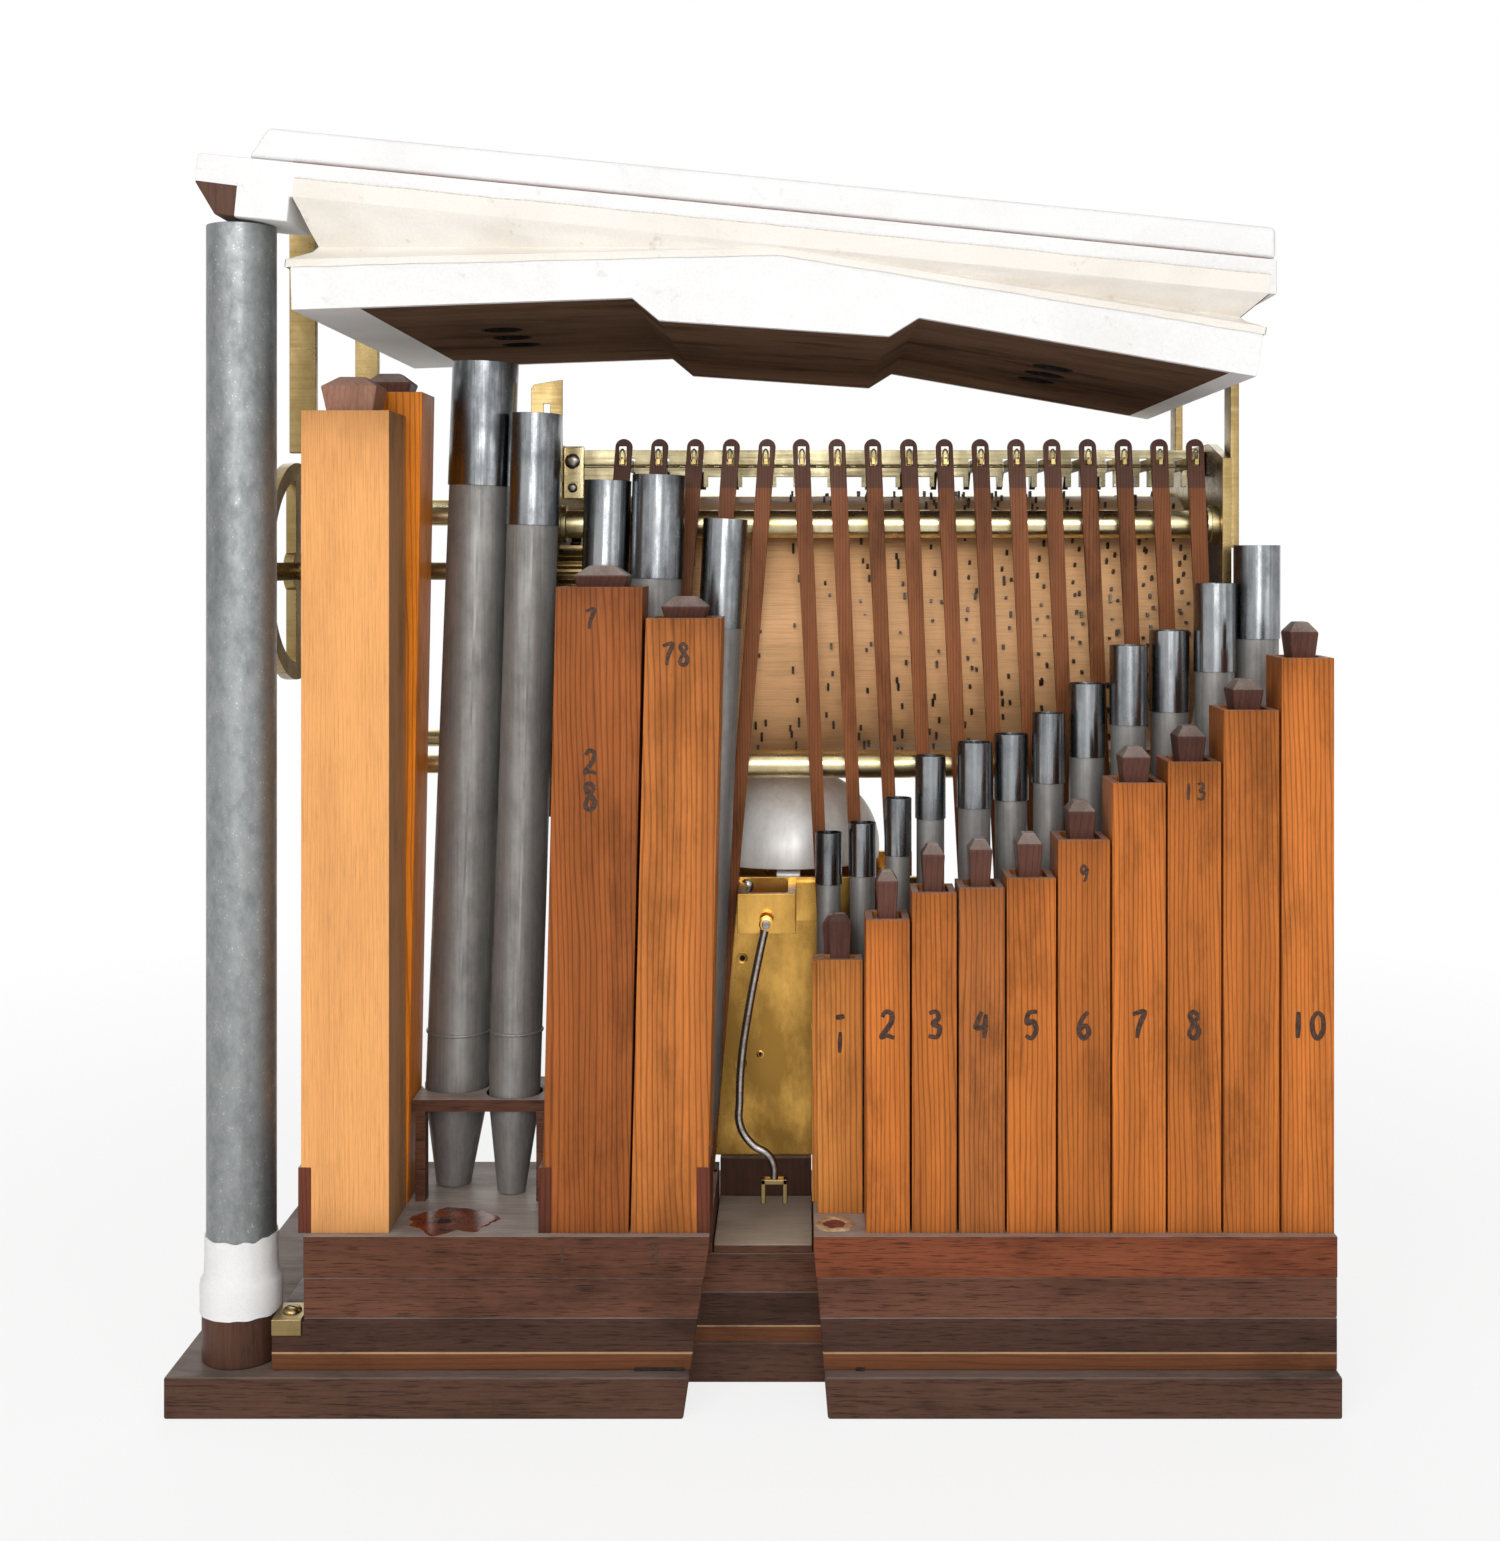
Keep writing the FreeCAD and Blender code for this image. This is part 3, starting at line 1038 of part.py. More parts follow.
def feeder_board():
    """Rocking board of the double feeder: two sloping wings on a thicker middle, with intake holes."""
    y0, y1 = bellows_span()
    outline = wing_outline(-1) + [wing_point(1, 0, 0)] + list(reversed(wing_outline(1)))
    board = prism_y(outline, y0, y1)
    middle = (y0 + y1) / 2
    for side in (-1, 1):
        for hole in range(VALVE_HOLES):
            y = middle + (hole - (VALVE_HOLES - 1) / 2) * VALVE_PITCH
            low = wing_point(side, VALVE_U, FEEDER_THICK + VALVE_OVERCUT)
            high = wing_point(side, VALVE_U, -VALVE_OVERCUT)
            board = board.cut(rod(V(low[0], y, low[1]), V(high[0], y, high[1]), VALVE_RADIUS))
    return [tilted(board)]


def feeder_leather():
    """Two folded leather wedges between the frame and the feeder wings."""
    y0, y1 = bellows_span()
    made = []
    for side in (-1, 1):
        end = wing_length(side) - LEATHER_INSET
        low_in = wing_point(side, LEATHER_START, -LEATHER_GAP)
        low_out = wing_point(side, end, -LEATHER_GAP)
        top_in = (low_in[0], -LEATHER_GAP)
        top_out = (low_out[0], -LEATHER_GAP)
        low_in = (low_in[0], min(low_in[1], top_in[1] - LEATHER_LEAST))
        fold_out = (low_out[0] - side * LEATHER_TUCK, (low_out[1] + top_out[1]) / 2)
        outline = [top_in, low_in, low_out, fold_out, top_out]
        made.append(tilted(prism_y(outline, y0 + LEATHER_INSET, y1 - LEATHER_INSET)))
    return made


def strap(x, width, y, depth, top_at, foot_z):
    """Flat brass strap from a frame plate up to the bellows frame, its top cut to the bellows slope."""
    def slope_z(at):
        return BELLOWS_PIVOT_Z - (at - BELLOWS_PIVOT_X) * math.tan(TILT) + top_at
    outline = [(x, foot_z), (x + width, foot_z), (x + width, slope_z(x + width)), (x, slope_z(x))]
    return prism_y(outline, y, y + depth)


def bellows_brackets():
    y_front = PLATE_Y + STRAP_FRONT_INSET
    y_rear = PLATE_Y + PLATE_DEPTH - STRAP_WIDTH - STRAP_REAR_INSET
    made = []
    for y in (y_front, y_rear):
        made.append(strap(FRAME_RIGHT_X, STRAP_THICK, y, STRAP_WIDTH, STRAP_LAP, STRAP_FOOT_Z))
        made.append(strap(OUTER_PLATE_X - STRAP_WIDTH, STRAP_WIDTH, y + LEFT_STRAP_SETBACK, STRAP_THICK, 0.0,
                          LEFT_STRAP_FOOT_Z))
    return made


def main():
    os.makedirs("parts", exist_ok=True)
    export("base_board", base_board())
    export("wind_chest", wind_chest())
    export("toe_boards", toe_boards())
    export("trunk_socket", trunk_socket())
    export("wind_trunk", wind_trunk())
    export("wood_pipes", wood_pipes())
    export("pipe_stoppers", pipe_stoppers())
    export("metal_pipes", metal_pipes())
    export("tuning_slides", tuning_slides())
    export("pipe_rack", pipe_rack())
    export("frame_plates", frame_plates())
    export("frame_pillars", frame_pillars())
    export("barrel_body", barrel_body())
    export("barrel_pins", barrel_pins())
    export("barrel_arbor", barrel_arbor())
    export("barrel_wheel", barrel_wheel())
    export("drive_arbor", drive_arbor())
    export("key_bar", key_bar())
    for index in range(KEY_COUNT):
        export(f"key_{index + 1:02d}", key(index))
        export(f"sticker_{index + 1:02d}", sticker(index))
    export("clock_movement", clock_movement())
    export("crutch", crutch())
    export("bell", bell())
    export("bellows_frame", bellows_frame())
    export("reservoir_board", reservoir_board())
    export("feeder_board", feeder_board())
    export("feeder_leather", feeder_leather())
    export("bellows_brackets", bellows_brackets())


if __name__ == "__main__":
    main()
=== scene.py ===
import json
import math

import bmesh
import bpy
from mathutils import Matrix, Vector, noise


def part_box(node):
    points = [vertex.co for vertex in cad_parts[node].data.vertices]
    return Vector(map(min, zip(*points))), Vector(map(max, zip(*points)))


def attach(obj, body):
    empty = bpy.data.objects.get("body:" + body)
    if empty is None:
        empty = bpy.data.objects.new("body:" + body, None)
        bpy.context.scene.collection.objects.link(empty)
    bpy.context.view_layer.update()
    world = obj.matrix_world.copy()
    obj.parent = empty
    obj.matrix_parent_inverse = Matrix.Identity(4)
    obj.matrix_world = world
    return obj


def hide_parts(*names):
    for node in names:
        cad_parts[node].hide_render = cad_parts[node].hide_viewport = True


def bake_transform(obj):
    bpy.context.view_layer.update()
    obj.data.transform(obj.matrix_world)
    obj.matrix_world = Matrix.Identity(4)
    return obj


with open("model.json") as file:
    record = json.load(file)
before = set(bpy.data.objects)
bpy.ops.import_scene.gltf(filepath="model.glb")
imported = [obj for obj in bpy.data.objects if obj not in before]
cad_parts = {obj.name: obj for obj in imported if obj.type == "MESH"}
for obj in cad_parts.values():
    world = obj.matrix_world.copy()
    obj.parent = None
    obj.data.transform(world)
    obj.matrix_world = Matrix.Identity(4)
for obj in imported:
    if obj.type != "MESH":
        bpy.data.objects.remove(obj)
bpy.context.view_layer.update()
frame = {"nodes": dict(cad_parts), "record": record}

NODES = frame["nodes"]
BODY = {node: body for body, nodes in frame["record"]["behaviour"]["bodies"].items() for node in nodes}
MM = 0.001
KEYS = 17
WELD = 0.002 * MM
FLAT_ANGLE = math.radians(0.3)
EDGE_ANGLE = math.radians(28.0)
SHARP_ANGLE = math.radians(46.0)
SEED_STEP = 0.371
SEED_SHIFT = (3.1, 5.7, 1.9)
TONE_SPREAD = 0.10
TONE_STEP = 2.4
COAT_ROUGHNESS = 0.2
TO_RIGHT, TO_FRONT, UPWARD = (1.0, 0.0, 0.0), (0.0, -1.0, 0.0), (0.0, 0.0, 1.0)
LOOKS = {}


class Nodes:
    """The node tree of a material or of the world, built a node at a time."""

    def __init__(self, owner):
        owner.use_nodes = True
        self.tree = owner.node_tree

    def feed(self, made, inputs):
        """Gives each input of a node an output to follow, or a value of its own."""
        for key, given in inputs.items():
            if isinstance(given, bpy.types.NodeSocket):
                self.tree.links.new(given, made.inputs[key])
            else:
                made.inputs[key].default_value = given

    def node(self, kind, inputs=None, **settings):
        """Adds a node, sets its options and feeds its inputs."""
        made = self.tree.nodes.new(kind)
        for key, value in settings.items():
            setattr(made, key, value)
        self.feed(made, inputs or {})
        return made

    def math(self, operation, first, second):
        """One arithmetic step on an output and a number or a second output."""
        return self.node("ShaderNodeMath", {0: first, 1: second}, operation=operation).outputs[0]


class Look(Nodes):
    """One procedural material, kept in LOOKS."""

    def __init__(self, name, metallic=0.0, specular=0.5):
        self.name = name
        self.material = bpy.data.materials.new(name)
        super().__init__(self.material)
        self.shader = self.tree.nodes["Principled BSDF"]
        self.feed(self.shader, {"Metallic": metallic, "Specular IOR Level": specular})
        self.object_place = self.node("ShaderNodeTexCoord").outputs["Object"]
        shift = {0: self.value("seed"), 1: SEED_SHIFT, 2: self.object_place}
        self.place = self.node("ShaderNodeVectorMath", shift, operation="MULTIPLY_ADD").outputs[0]

    def value(self, name):
        """A number that the mesh keeps at each of its points."""
        return self.node("ShaderNodeAttribute", attribute_name=name).outputs["Fac"]

    def facing_up(self):
        """How far a face looks up, from -1 to 1."""
        normal = self.node("ShaderNodeNewGeometry").outputs["Normal"]
        return self.node("ShaderNodeSeparateXYZ", {0: normal}).outputs[2]

    def stretched(self, scale):
        """The place on the object, with a number of cycles per metre on each axis."""
        return self.node("ShaderNodeMapping", {"Vector": self.place, "Scale": scale}).outputs[0]

    def noise(self, scale, detail=4.0, roughness=0.55, distortion=0.0):
        """Noise with its own number of cycles per metre on each axis."""
        inputs = {"Vector": self.stretched(scale), "Scale": 1.0, "Detail": detail}
        inputs.update({"Roughness": roughness, "Distortion": distortion})
        return self.node("ShaderNodeTexNoise", inputs).outputs["Fac"]

    def year_lines(self, axis, pitch):
        """Saw-toothed bands across an axis, one for each year of growth, a pitch in mm apart."""
        bands = 0.2 * math.pi / (pitch * MM)
        drift = self.math("MULTIPLY", self.noise(along(axis, *YEAR_DRIFT), detail=3.0), YEAR_SHIFT)
        inputs = {"Vector": self.stretched(along(axis, bands, YEAR_WAVE)), "Phase Offset": drift}
        inputs.update({"Scale": 1.0, "Distortion": 4.0, "Detail": 3.0})
        inputs.update({"Detail Scale": 0.3, "Detail Roughness": 0.6})
        settings = {"bands_direction": "DIAGONAL", "wave_profile": "SAW"}
        return self.node("ShaderNodeTexWave", inputs, **settings).outputs["Fac"]

    def specks(self, scale):
        """Distance to the nearest of scattered points."""
        inputs = {"Vector": self.stretched(scale), "Scale": 1.0}
        return self.node("ShaderNodeTexVoronoi", inputs).outputs["Distance"]

    def ramp(self, fac, *stops):
        """A colour for each share of fac."""
        made = self.node("ShaderNodeValToRGB", {"Fac": fac})
        points = made.color_ramp.elements
        while len(points) < len(stops):
            points.new(0.5)
        for point, (position, colour) in zip(points, stops):
            point.position = position
            point.color = (*colour, 1.0)
        return made.outputs["Color"]

    def shades(self, fac, *stops):
        """A grey for each share of fac."""
        return self.ramp(fac, *((position, (value, value, value)) for position, value in stops))

    def mix(self, blend, amount, first, second):
        """Two colours mixed, by a number or by another output."""
        inputs = {0: amount, 6: first, 7: second}
        return self.node("ShaderNodeMix", inputs, data_type="RGBA", blend_type=blend).outputs[2]

    def darker(self, colour, share, shade):
        """A colour multiplied by a shade, to a share."""
        return self.mix("MULTIPLY", share, colour, shade)

    def weighted(self, first, share, second):
        """Two outputs added, the first by its share and the second by the rest."""
        rest = self.math("MULTIPLY", second, 1.0 - share)
        return self.math("ADD", self.math("MULTIPLY", first, share), rest)

    def toned(self, colour):
        """A colour made a little darker or lighter on each solid."""
        inputs = {0: colour, 3: self.value("tone")}
        return self.node("ShaderNodeVectorMath", inputs, operation="SCALE").outputs[0]

    def finish(self, colour, roughness, bump, depth, coat=0.0):
        """Feeds the shader: the colour, the roughness, the bump (its depth in mm) and a coat of varnish."""
        height = self.node("ShaderNodeBump", {"Height": bump, "Strength": 1.0, "Distance": depth * MM})
        self.feed(self.shader, {"Base Color": colour, "Roughness": roughness, "Normal": height.outputs[0]})
        self.feed(self.shader, {"Coat Weight": coat, "Coat Roughness": COAT_ROUGHNESS})
        LOOKS[self.name] = self.material


def along(axis, across, fibre):
    """Cycles per metre on each axis, with the fibres along one of them."""
    return tuple(fibre if name == axis else across for name in "XYZ")


def scaled(colour, share):
    """A colour made darker or lighter."""
    return tuple(min(1.0, channel * share) for channel in colour)


# Wood: cycles per metre across and along the fibres, and what darkens or covers the bare colour.
YEAR_DRIFT, YEAR_SHIFT, YEAR_WAVE = (45.0, 6.0), 30.0, 4.0
BROAD, FIBRE, BLOTS, VESSELS = (110.0, 2.2), (3000.0, 70.0), (60.0, 22.0), (1900.0, 110.0)
FIBRE_SHARE = 0.5
# Darker towards the top and the foot of each solid: the height to measure, the shade at the end and a little
# way in.
END_DARKENING = (("below_top", 0.35, 0.8), ("above_foot", 0.5, 0.9))
END_DARKENING_REACH, END_DARKENING_WANDER, END_DARKENING_SHARE = (0.012, 0.03), 0.006, 0.6
# Dust on top faces, paler than dust alone as painted light from above.
DUST_AND_TOP_LIGHT = ((0.29, 0.24, 0.21), (0.54, 0.475, 0.43))


def wood(name, colour, axis, pitch, contrast, coat=0.05, dust_and_top_light=0.0, stain=0.4, specular=0.10, depth=0.10,
         pores=0.0, reach=1.0):
    """Straight-grained wood: year lines, fibres, stains, pores, darker towards the top and the foot of each
    solid, and dust on top, paler than dust alone as painted light from above.
    """
    look = Look(name, specular=specular)
    year = look.year_lines(axis, pitch)
    broad = look.noise(along(axis, *BROAD), distortion=0.3)
    fibre = look.noise(along(axis, *FIBRE), roughness=0.75)
    blots = look.noise(along(axis, *BLOTS), detail=7.0, roughness=0.66)
    dark, light = scaled(colour, 1.0 - 0.5 * contrast), scaled(colour, 1.0 + 0.4 * contrast)
    body = look.ramp(broad, (0.32, dark), (0.50, colour), (0.68, light))
    late = 1.0 - contrast
    growth = look.shades(year, (0.0, 0.5 + 0.5 * late), (0.12, 1.0), (0.66, 1.0), (0.92, late), (1.0, late))
    body = look.darker(body, 1.0, growth)
    body = look.darker(body, FIBRE_SHARE, look.shades(fibre, (0.30, 0.40), (0.52, 1.0)))
    body = look.darker(body, stain, look.shades(blots, (0.33, 0.30), (0.48, 0.85), (0.62, 1.0)))
    # Darker towards the top and the foot of each solid.
    for end, first, second in END_DARKENING:
        inward = look.math("ADD", look.value(end), look.math("MULTIPLY", blots, END_DARKENING_WANDER))
        near, far = (reach * step for step in END_DARKENING_REACH)
        body = look.darker(body, END_DARKENING_SHARE, look.shades(inward, (0.0, first), (near, second), (far, 1.0)))
    if pores:
        vessels = look.noise(along(axis, *VESSELS), detail=2.0, roughness=0.6)
        body = look.darker(body, pores, look.shades(vessels, (0.35, 0.2), (0.46, 1.0)))
    body = look.toned(body)
    # Top faces: dust, and painted light from above.
    if dust_and_top_light:
        upper = look.shades(look.facing_up(), (0.45, 0.0), (0.85, dust_and_top_light))
        cover = look.math("MULTIPLY", upper, look.shades(blots, (0.35, 0.45), (0.6, 1.0)))
        body = look.mix("MIX", cover, body, look.ramp(fibre, (0.3, DUST_AND_TOP_LIGHT[0]), (0.7, DUST_AND_TOP_LIGHT[1])))
    polish = look.shades(blots, (0.35, 0.62), (0.62, 0.40))
    look.finish(body, polish, look.weighted(growth, 0.5, fibre), depth, coat)


def metal(name, bright, tarnish, streaks, gloss, cover=(0.40, 0.60), share=0.6, patch=70.0, solid=1.0):
    """Metal with tarnish in soft patches, and streaks along one axis."""
    look = Look(name, metallic=solid)
    patches = look.noise((patch, patch, 0.6 * patch), detail=7.0, roughness=0.66)
    marks = look.noise(along(streaks, 900.0, 26.0), roughness=0.6)
    worn = look.weighted(patches, share, marks)
    middle = tuple(0.5 * (a + b) for a, b in zip(bright, tarnish))
    colour = look.ramp(worn, (cover[0], tarnish), (0.5 * sum(cover), middle), (cover[1], bright))
    polish = look.shades(worn, (cover[0], gloss[1]), (cover[1], gloss[0]))
    look.finish(colour, polish, worn, 0.02)


def zinc(name, dark, middle, light):
    """Old zinc sheet: mottled, with white specks and darker runs."""
    look = Look(name, metallic=0.75)
    mottle = look.noise((210.0, 210.0, 130.0), detail=9.0, roughness=0.78)
    runs = look.noise(along("Z", 60.0, 7.0), detail=5.0)
    specks = look.shades(look.specks((900.0, 900.0, 700.0)), (0.08, 0.7), (0.26, 0.0))
    specks = look.math("MULTIPLY", specks, look.shades(mottle, (0.46, 0.0), (0.60, 1.0)))
    colour = look.ramp(mottle, (0.36, dark), (0.5, middle), (0.64, light))
    colour = look.darker(colour, 0.4, look.shades(runs, (0.35, 0.35), (0.52, 1.0)))
    colour = look.mix("MIX", specks, colour, look.shades(mottle, (0.3, 0.42), (0.6, 0.62)))
    look.finish(colour, look.shades(mottle, (0.35, 0.62), (0.62, 0.44)), mottle, 0.03)


def leather(name, colour, shade, soiled, soil=(0.50, 0.42, 0.33)):
    """Alum-tawed leather: near white, with cream patches, soil in spots, fine grain and soft wrinkles."""
    look = Look(name, specular=0.2)
    patches = look.noise((26.0, 26.0, 34.0), detail=5.0, distortion=0.4)
    wrinkles = look.noise((90.0, 60.0, 150.0), detail=5.0, roughness=0.6, distortion=0.8)
    spots = look.noise((120.0, 120.0, 120.0), detail=7.0, roughness=0.75)
    grain = look.noise((1500.0, 1500.0, 1500.0), detail=3.0)
    body = look.ramp(patches, (0.34, shade), (0.52, colour), (0.7, scaled(colour, 1.02)))
    body = look.darker(body, soiled, look.ramp(spots, (0.30, soil), (0.39, (1.0, 1.0, 1.0))))
    body = look.darker(body, 0.10, look.shades(grain, (0.3, 0.5), (0.6, 1.0)))
    polish = look.shades(patches, (0.3, 0.80), (0.7, 0.64))
    look.finish(body, polish, look.weighted(wrinkles, 0.9, grain), 0.35)


def plain(name, colour, other, scale, gloss, depth=0.05, coat=0.0):
    """A small fitting: two close colours in fine patches."""
    look = Look(name, specular=0.3)
    patches = look.noise((scale, scale, scale), detail=5.0, roughness=0.65)
    body = look.ramp(patches, (0.38, other), (0.60, colour))
    polish = look.shades(patches, (0.35, gloss[1]), (0.65, gloss[0]))
    look.finish(body, polish, patches, depth, coat)


# Every look, with colours as linear shares of red, green and blue.
wood("base_wood", (0.137, 0.066, 0.043), "X", 2.6, 0.16, dust_and_top_light=0.3, stain=0.7, pores=0.6)
wood("chest_wood", (0.166, 0.069, 0.041), "X", 2.8, 0.14, dust_and_top_light=0.5, stain=0.6, pores=0.7)
wood("chest_dark", (0.081, 0.038, 0.025), "X", 2.8, 0.14, dust_and_top_light=0.5, stain=0.6, pores=0.7)
wood("floor_wood", (0.184, 0.066, 0.027), "X", 2.2, 0.2, dust_and_top_light=0.4, stain=0.5)
wood("worn_edge", (0.556, 0.353, 0.193), "X", 1.5, 0.2, stain=0.8)
wood("toe_wood", (0.294, 0.083, 0.035), "X", 2.8, 0.14, dust_and_top_light=0.9, stain=0.55, pores=0.7)
wood("toe_dark", (0.171, 0.067, 0.037), "X", 2.8, 0.14, dust_and_top_light=0.9, stain=0.55, pores=0.7)
# dust and painted light: the shelf's top made pale for dust and for light falling on it
wood("dust_and_shelf_light", (0.920, 0.770, 0.621), "X", 1.5, 0.1, stain=0.4)
wood("dark_wood", (0.118, 0.054, 0.035), "Z", 2.2, 0.16, dust_and_top_light=0.35, stain=0.5)
wood("pine", (0.824, 0.387, 0.135), "Z", 1.3, 0.10, stain=0.15, coat=0.02, depth=0.05)
# painted shade: a darker copy of the pine, for the first pipe's right side where shade falls
wood("pine_shaded_side", (0.510, 0.268, 0.122), "Z", 1.3, 0.25, stain=0.5, coat=0.02)
wood("orange_pine", (0.749, 0.219, 0.013), "Z", 1.9, 0.42, dust_and_top_light=0.35)
wood("red_pine", (0.391, 0.111, 0.024), "Z", 1.7, 0.46, dust_and_top_light=0.5, stain=0.5)
wood("brown_pine", (0.524, 0.167, 0.036), "Z", 1.9, 0.46, dust_and_top_light=0.5, stain=0.5)
wood("pipe_wood", (0.556, 0.163, 0.029), "Z", 1.5, 0.46, dust_and_top_light=0.45, stain=0.6, coat=0.08)
wood("dark_pine", (0.425, 0.134, 0.031), "Z", 1.5, 0.46, dust_and_top_light=0.45, stain=0.7, coat=0.08)
# painted light: a lighter copy of the pipe wood, for the small back pipes that sit further in
wood("small_pine_lit", (0.770, 0.284, 0.062), "Z", 1.6, 0.44, dust_and_top_light=0.45, stain=0.5)
wood("cap_wood", (0.150, 0.042, 0.022), "Z", 1.3, 0.35, dust_and_top_light=0.3)
wood("stopper_wood", (0.134, 0.055, 0.039), "Z", 1.8, 0.22, dust_and_top_light=0.8, stain=0.5)
wood("pale_stopper", (0.428, 0.219, 0.148), "Z", 1.8, 0.16, dust_and_top_light=0.2)
wood("barrel_wood", (0.920, 0.530, 0.255), "X", 2.6, 0.05, stain=0.22, coat=0.03)
wood("sticker_wood", (0.285, 0.094, 0.031), "Z", 1.0, 0.40, dust_and_top_light=0.3, stain=0.7, reach=4.0)
wood("sticker_head", (0.112, 0.043, 0.024), "Z", 1.0, 0.35, dust_and_top_light=0.3)
wood("feeder_wood", (0.203, 0.120, 0.077), "X", 2.4, 0.25, stain=0.7, coat=0.0, specular=0.0)
metal("pipe_metal", (0.285, 0.275, 0.260), (0.180, 0.174, 0.164), "Z", (0.44, 0.64), share=0.68, solid=0.55)
metal("tin", (0.300, 0.311, 0.320), (0.105, 0.111, 0.117), "Z", (0.16, 0.36), share=0.7)
zinc("zinc", (0.205, 0.216, 0.219), (0.258, 0.270, 0.270), (0.300, 0.310, 0.308))
metal("brass", (0.300, 0.218, 0.096), (0.205, 0.142, 0.056), "X", (0.24, 0.42), share=0.7)
metal("bar_brass", (0.345, 0.300, 0.185), (0.215, 0.178, 0.098), "X", (0.25, 0.45), share=0.6)
metal("pale_brass", (0.740, 0.640, 0.390), (0.500, 0.410, 0.210), "X", (0.20, 0.40), share=0.7)
metal("clock_brass", (0.760, 0.430, 0.105), (0.300, 0.165, 0.036), "Z", (0.14, 0.34), share=0.95, patch=24.0)
metal("steel", (0.460, 0.440, 0.410), (0.190, 0.170, 0.150), "X", (0.24, 0.44))
metal("dark_steel", (0.120, 0.105, 0.092), (0.050, 0.042, 0.036), "X", (0.35, 0.55))
metal("bell_metal", (0.930, 0.920, 0.900), (0.740, 0.730, 0.710), "Z", (0.40, 0.55), share=0.8, solid=0.2)
leather("bellows_leather", (0.800, 0.797, 0.793), (0.768, 0.754, 0.736), 0.25)
leather("gusset_leather", (0.800, 0.755, 0.695), (0.750, 0.695, 0.620), 0.35)
plain("fray", (0.700, 0.660, 0.600), (0.520, 0.470, 0.410), 900.0, (0.7, 0.9), depth=0.15)
plain("seam", (0.230, 0.060, 0.045), (0.120, 0.035, 0.030), 300.0, (0.6, 0.8))
plain("varnish", (0.230, 0.045, 0.009), (0.060, 0.011, 0.004), 160.0, (0.18, 0.3), coat=0.08)
plain("glue", (0.600, 0.420, 0.240), (0.330, 0.190, 0.090), 420.0, (0.4, 0.7), depth=0.2)
plain("ink", (0.075, 0.030, 0.014), (0.030, 0.014, 0.008), 900.0, (0.5, 0.75))
# painted shade: near black, for holes, gaps and flaps where shade falls
plain("hole", (0.020, 0.014, 0.010), (0.008, 0.006, 0.005), 500.0, (0.7, 0.9))
plain("chip", (0.460, 0.340, 0.250), (0.260, 0.170, 0.110), 700.0, (0.6, 0.8), depth=0.1)


# Meshes: joining split vertices, rounding and cutting, and telling the separate solids of a node apart.
CUT_SLACK = 0.001 * MM


def welded(node):
    """One CAD node as a closed mesh, with its flat faces whole."""
    mesh = bmesh.new()
    mesh.from_mesh(NODES[node].data)
    bmesh.ops.remove_doubles(mesh, verts=mesh.verts, dist=WELD)
    bmesh.ops.dissolve_limit(mesh, angle_limit=FLAT_ANGLE, verts=mesh.verts, edges=mesh.edges)
    return mesh


def rounded(mesh, edges, width):
    """Rounds some edges, by a width in mm."""
    bmesh.ops.bevel(mesh, geom=edges, offset=width * MM, offset_type="OFFSET", segments=2, profile=0.5,
                    affect="EDGES", clamp_overlap=True)


def cut(mesh, point, normal, faces=None):
    """Divides faces along a plane, and takes nothing away."""
    chosen = list(faces if faces is not None else mesh.faces)
    edges = {edge for face in chosen for edge in face.edges}
    verts = {vert for face in chosen for vert in face.verts}
    geometry = chosen + list(edges) + list(verts)
    bmesh.ops.bisect_plane(mesh, geom=geometry, plane_co=point, plane_no=normal, dist=CUT_SLACK)


def level(z):
    """A flat plane at a height in mm, to cut along."""
    return (0.0, 0.0, z * MM), UPWARD


def islands(mesh):
    """The separate solids of a mesh, from left to right, as lists of faces."""
    left = set(mesh.faces)
    found = []
    for start in mesh.faces:
        if start not in left:
            continue
        left.remove(start)
        group = [start]
        for face in group:
            for other in {other for edge in face.edges for other in edge.link_faces} & left:
                left.remove(other)
                group.append(other)
        found.append(group)
    found.sort(key=lambda group: round(extent(group)[0].x, 3))
    return found


def box_of(points):
    """The box round some points."""
    return (Vector([pick(point[axis] for point in points) for axis in range(3)]) for pick in (min, max))


def extent(faces):
    """The box of some faces, in mm."""
    low, high = box_of([vert.co for face in faces for vert in face.verts])
    return low / MM, high / MM


def marked(mesh, looks, choose):
    """Each solid gets its own grain and tone, each point its height in the solid, and each face its look."""
    names = ("seed", "tone", "below_top", "above_foot")
    seed, tone, below_top, above_foot = (mesh.verts.layers.float.new(name) for name in names)
    for number, group in enumerate(islands(mesh)):
        low, high = extent(group)
        for face in group:
            if choose:
                face.material_index = looks.index(choose(low, high, face))
            for vert in face.verts:
                vert[seed] = number * SEED_STEP
                vert[tone] = 1.0 + TONE_SPREAD * math.sin(number * TONE_STEP)
                vert[below_top] = high.z * MM - vert.co.z
                vert[above_foot] = vert.co.z - low.z * MM


def in_scene(name, data):
    """A new object in the scene."""
    made = bpy.data.objects.new(name, data)
    bpy.context.scene.collection.objects.link(made)
    return made


def placed(name, data, body):
    """A new object that rides on a body, or on none yet."""
    made = in_scene(name, data)
    if body:
        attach(made, body)
    return made


def piece(name, mesh, looks, body, replaced=(), choose=None):
    """A finished object from a bmesh, with shading, materials and the body that it rides on."""
    mesh.normal_update()
    marked(mesh, looks, choose)
    for face in mesh.faces:
        face.smooth = True
    for edge in mesh.edges:
        edge.smooth = len(edge.link_faces) == 2 and edge.calc_face_angle(0.0) < SHARP_ANGLE
    data = bpy.data.meshes.new(name)
    mesh.to_mesh(data)
    mesh.free()
    for look in looks:
        data.materials.append(LOOKS[look])
    made = placed(name, data, body)
    made.modifiers.new("flat_faces", "WEIGHTED_NORMAL").keep_sharp = True
    if replaced:
        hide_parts(*replaced)
    return made


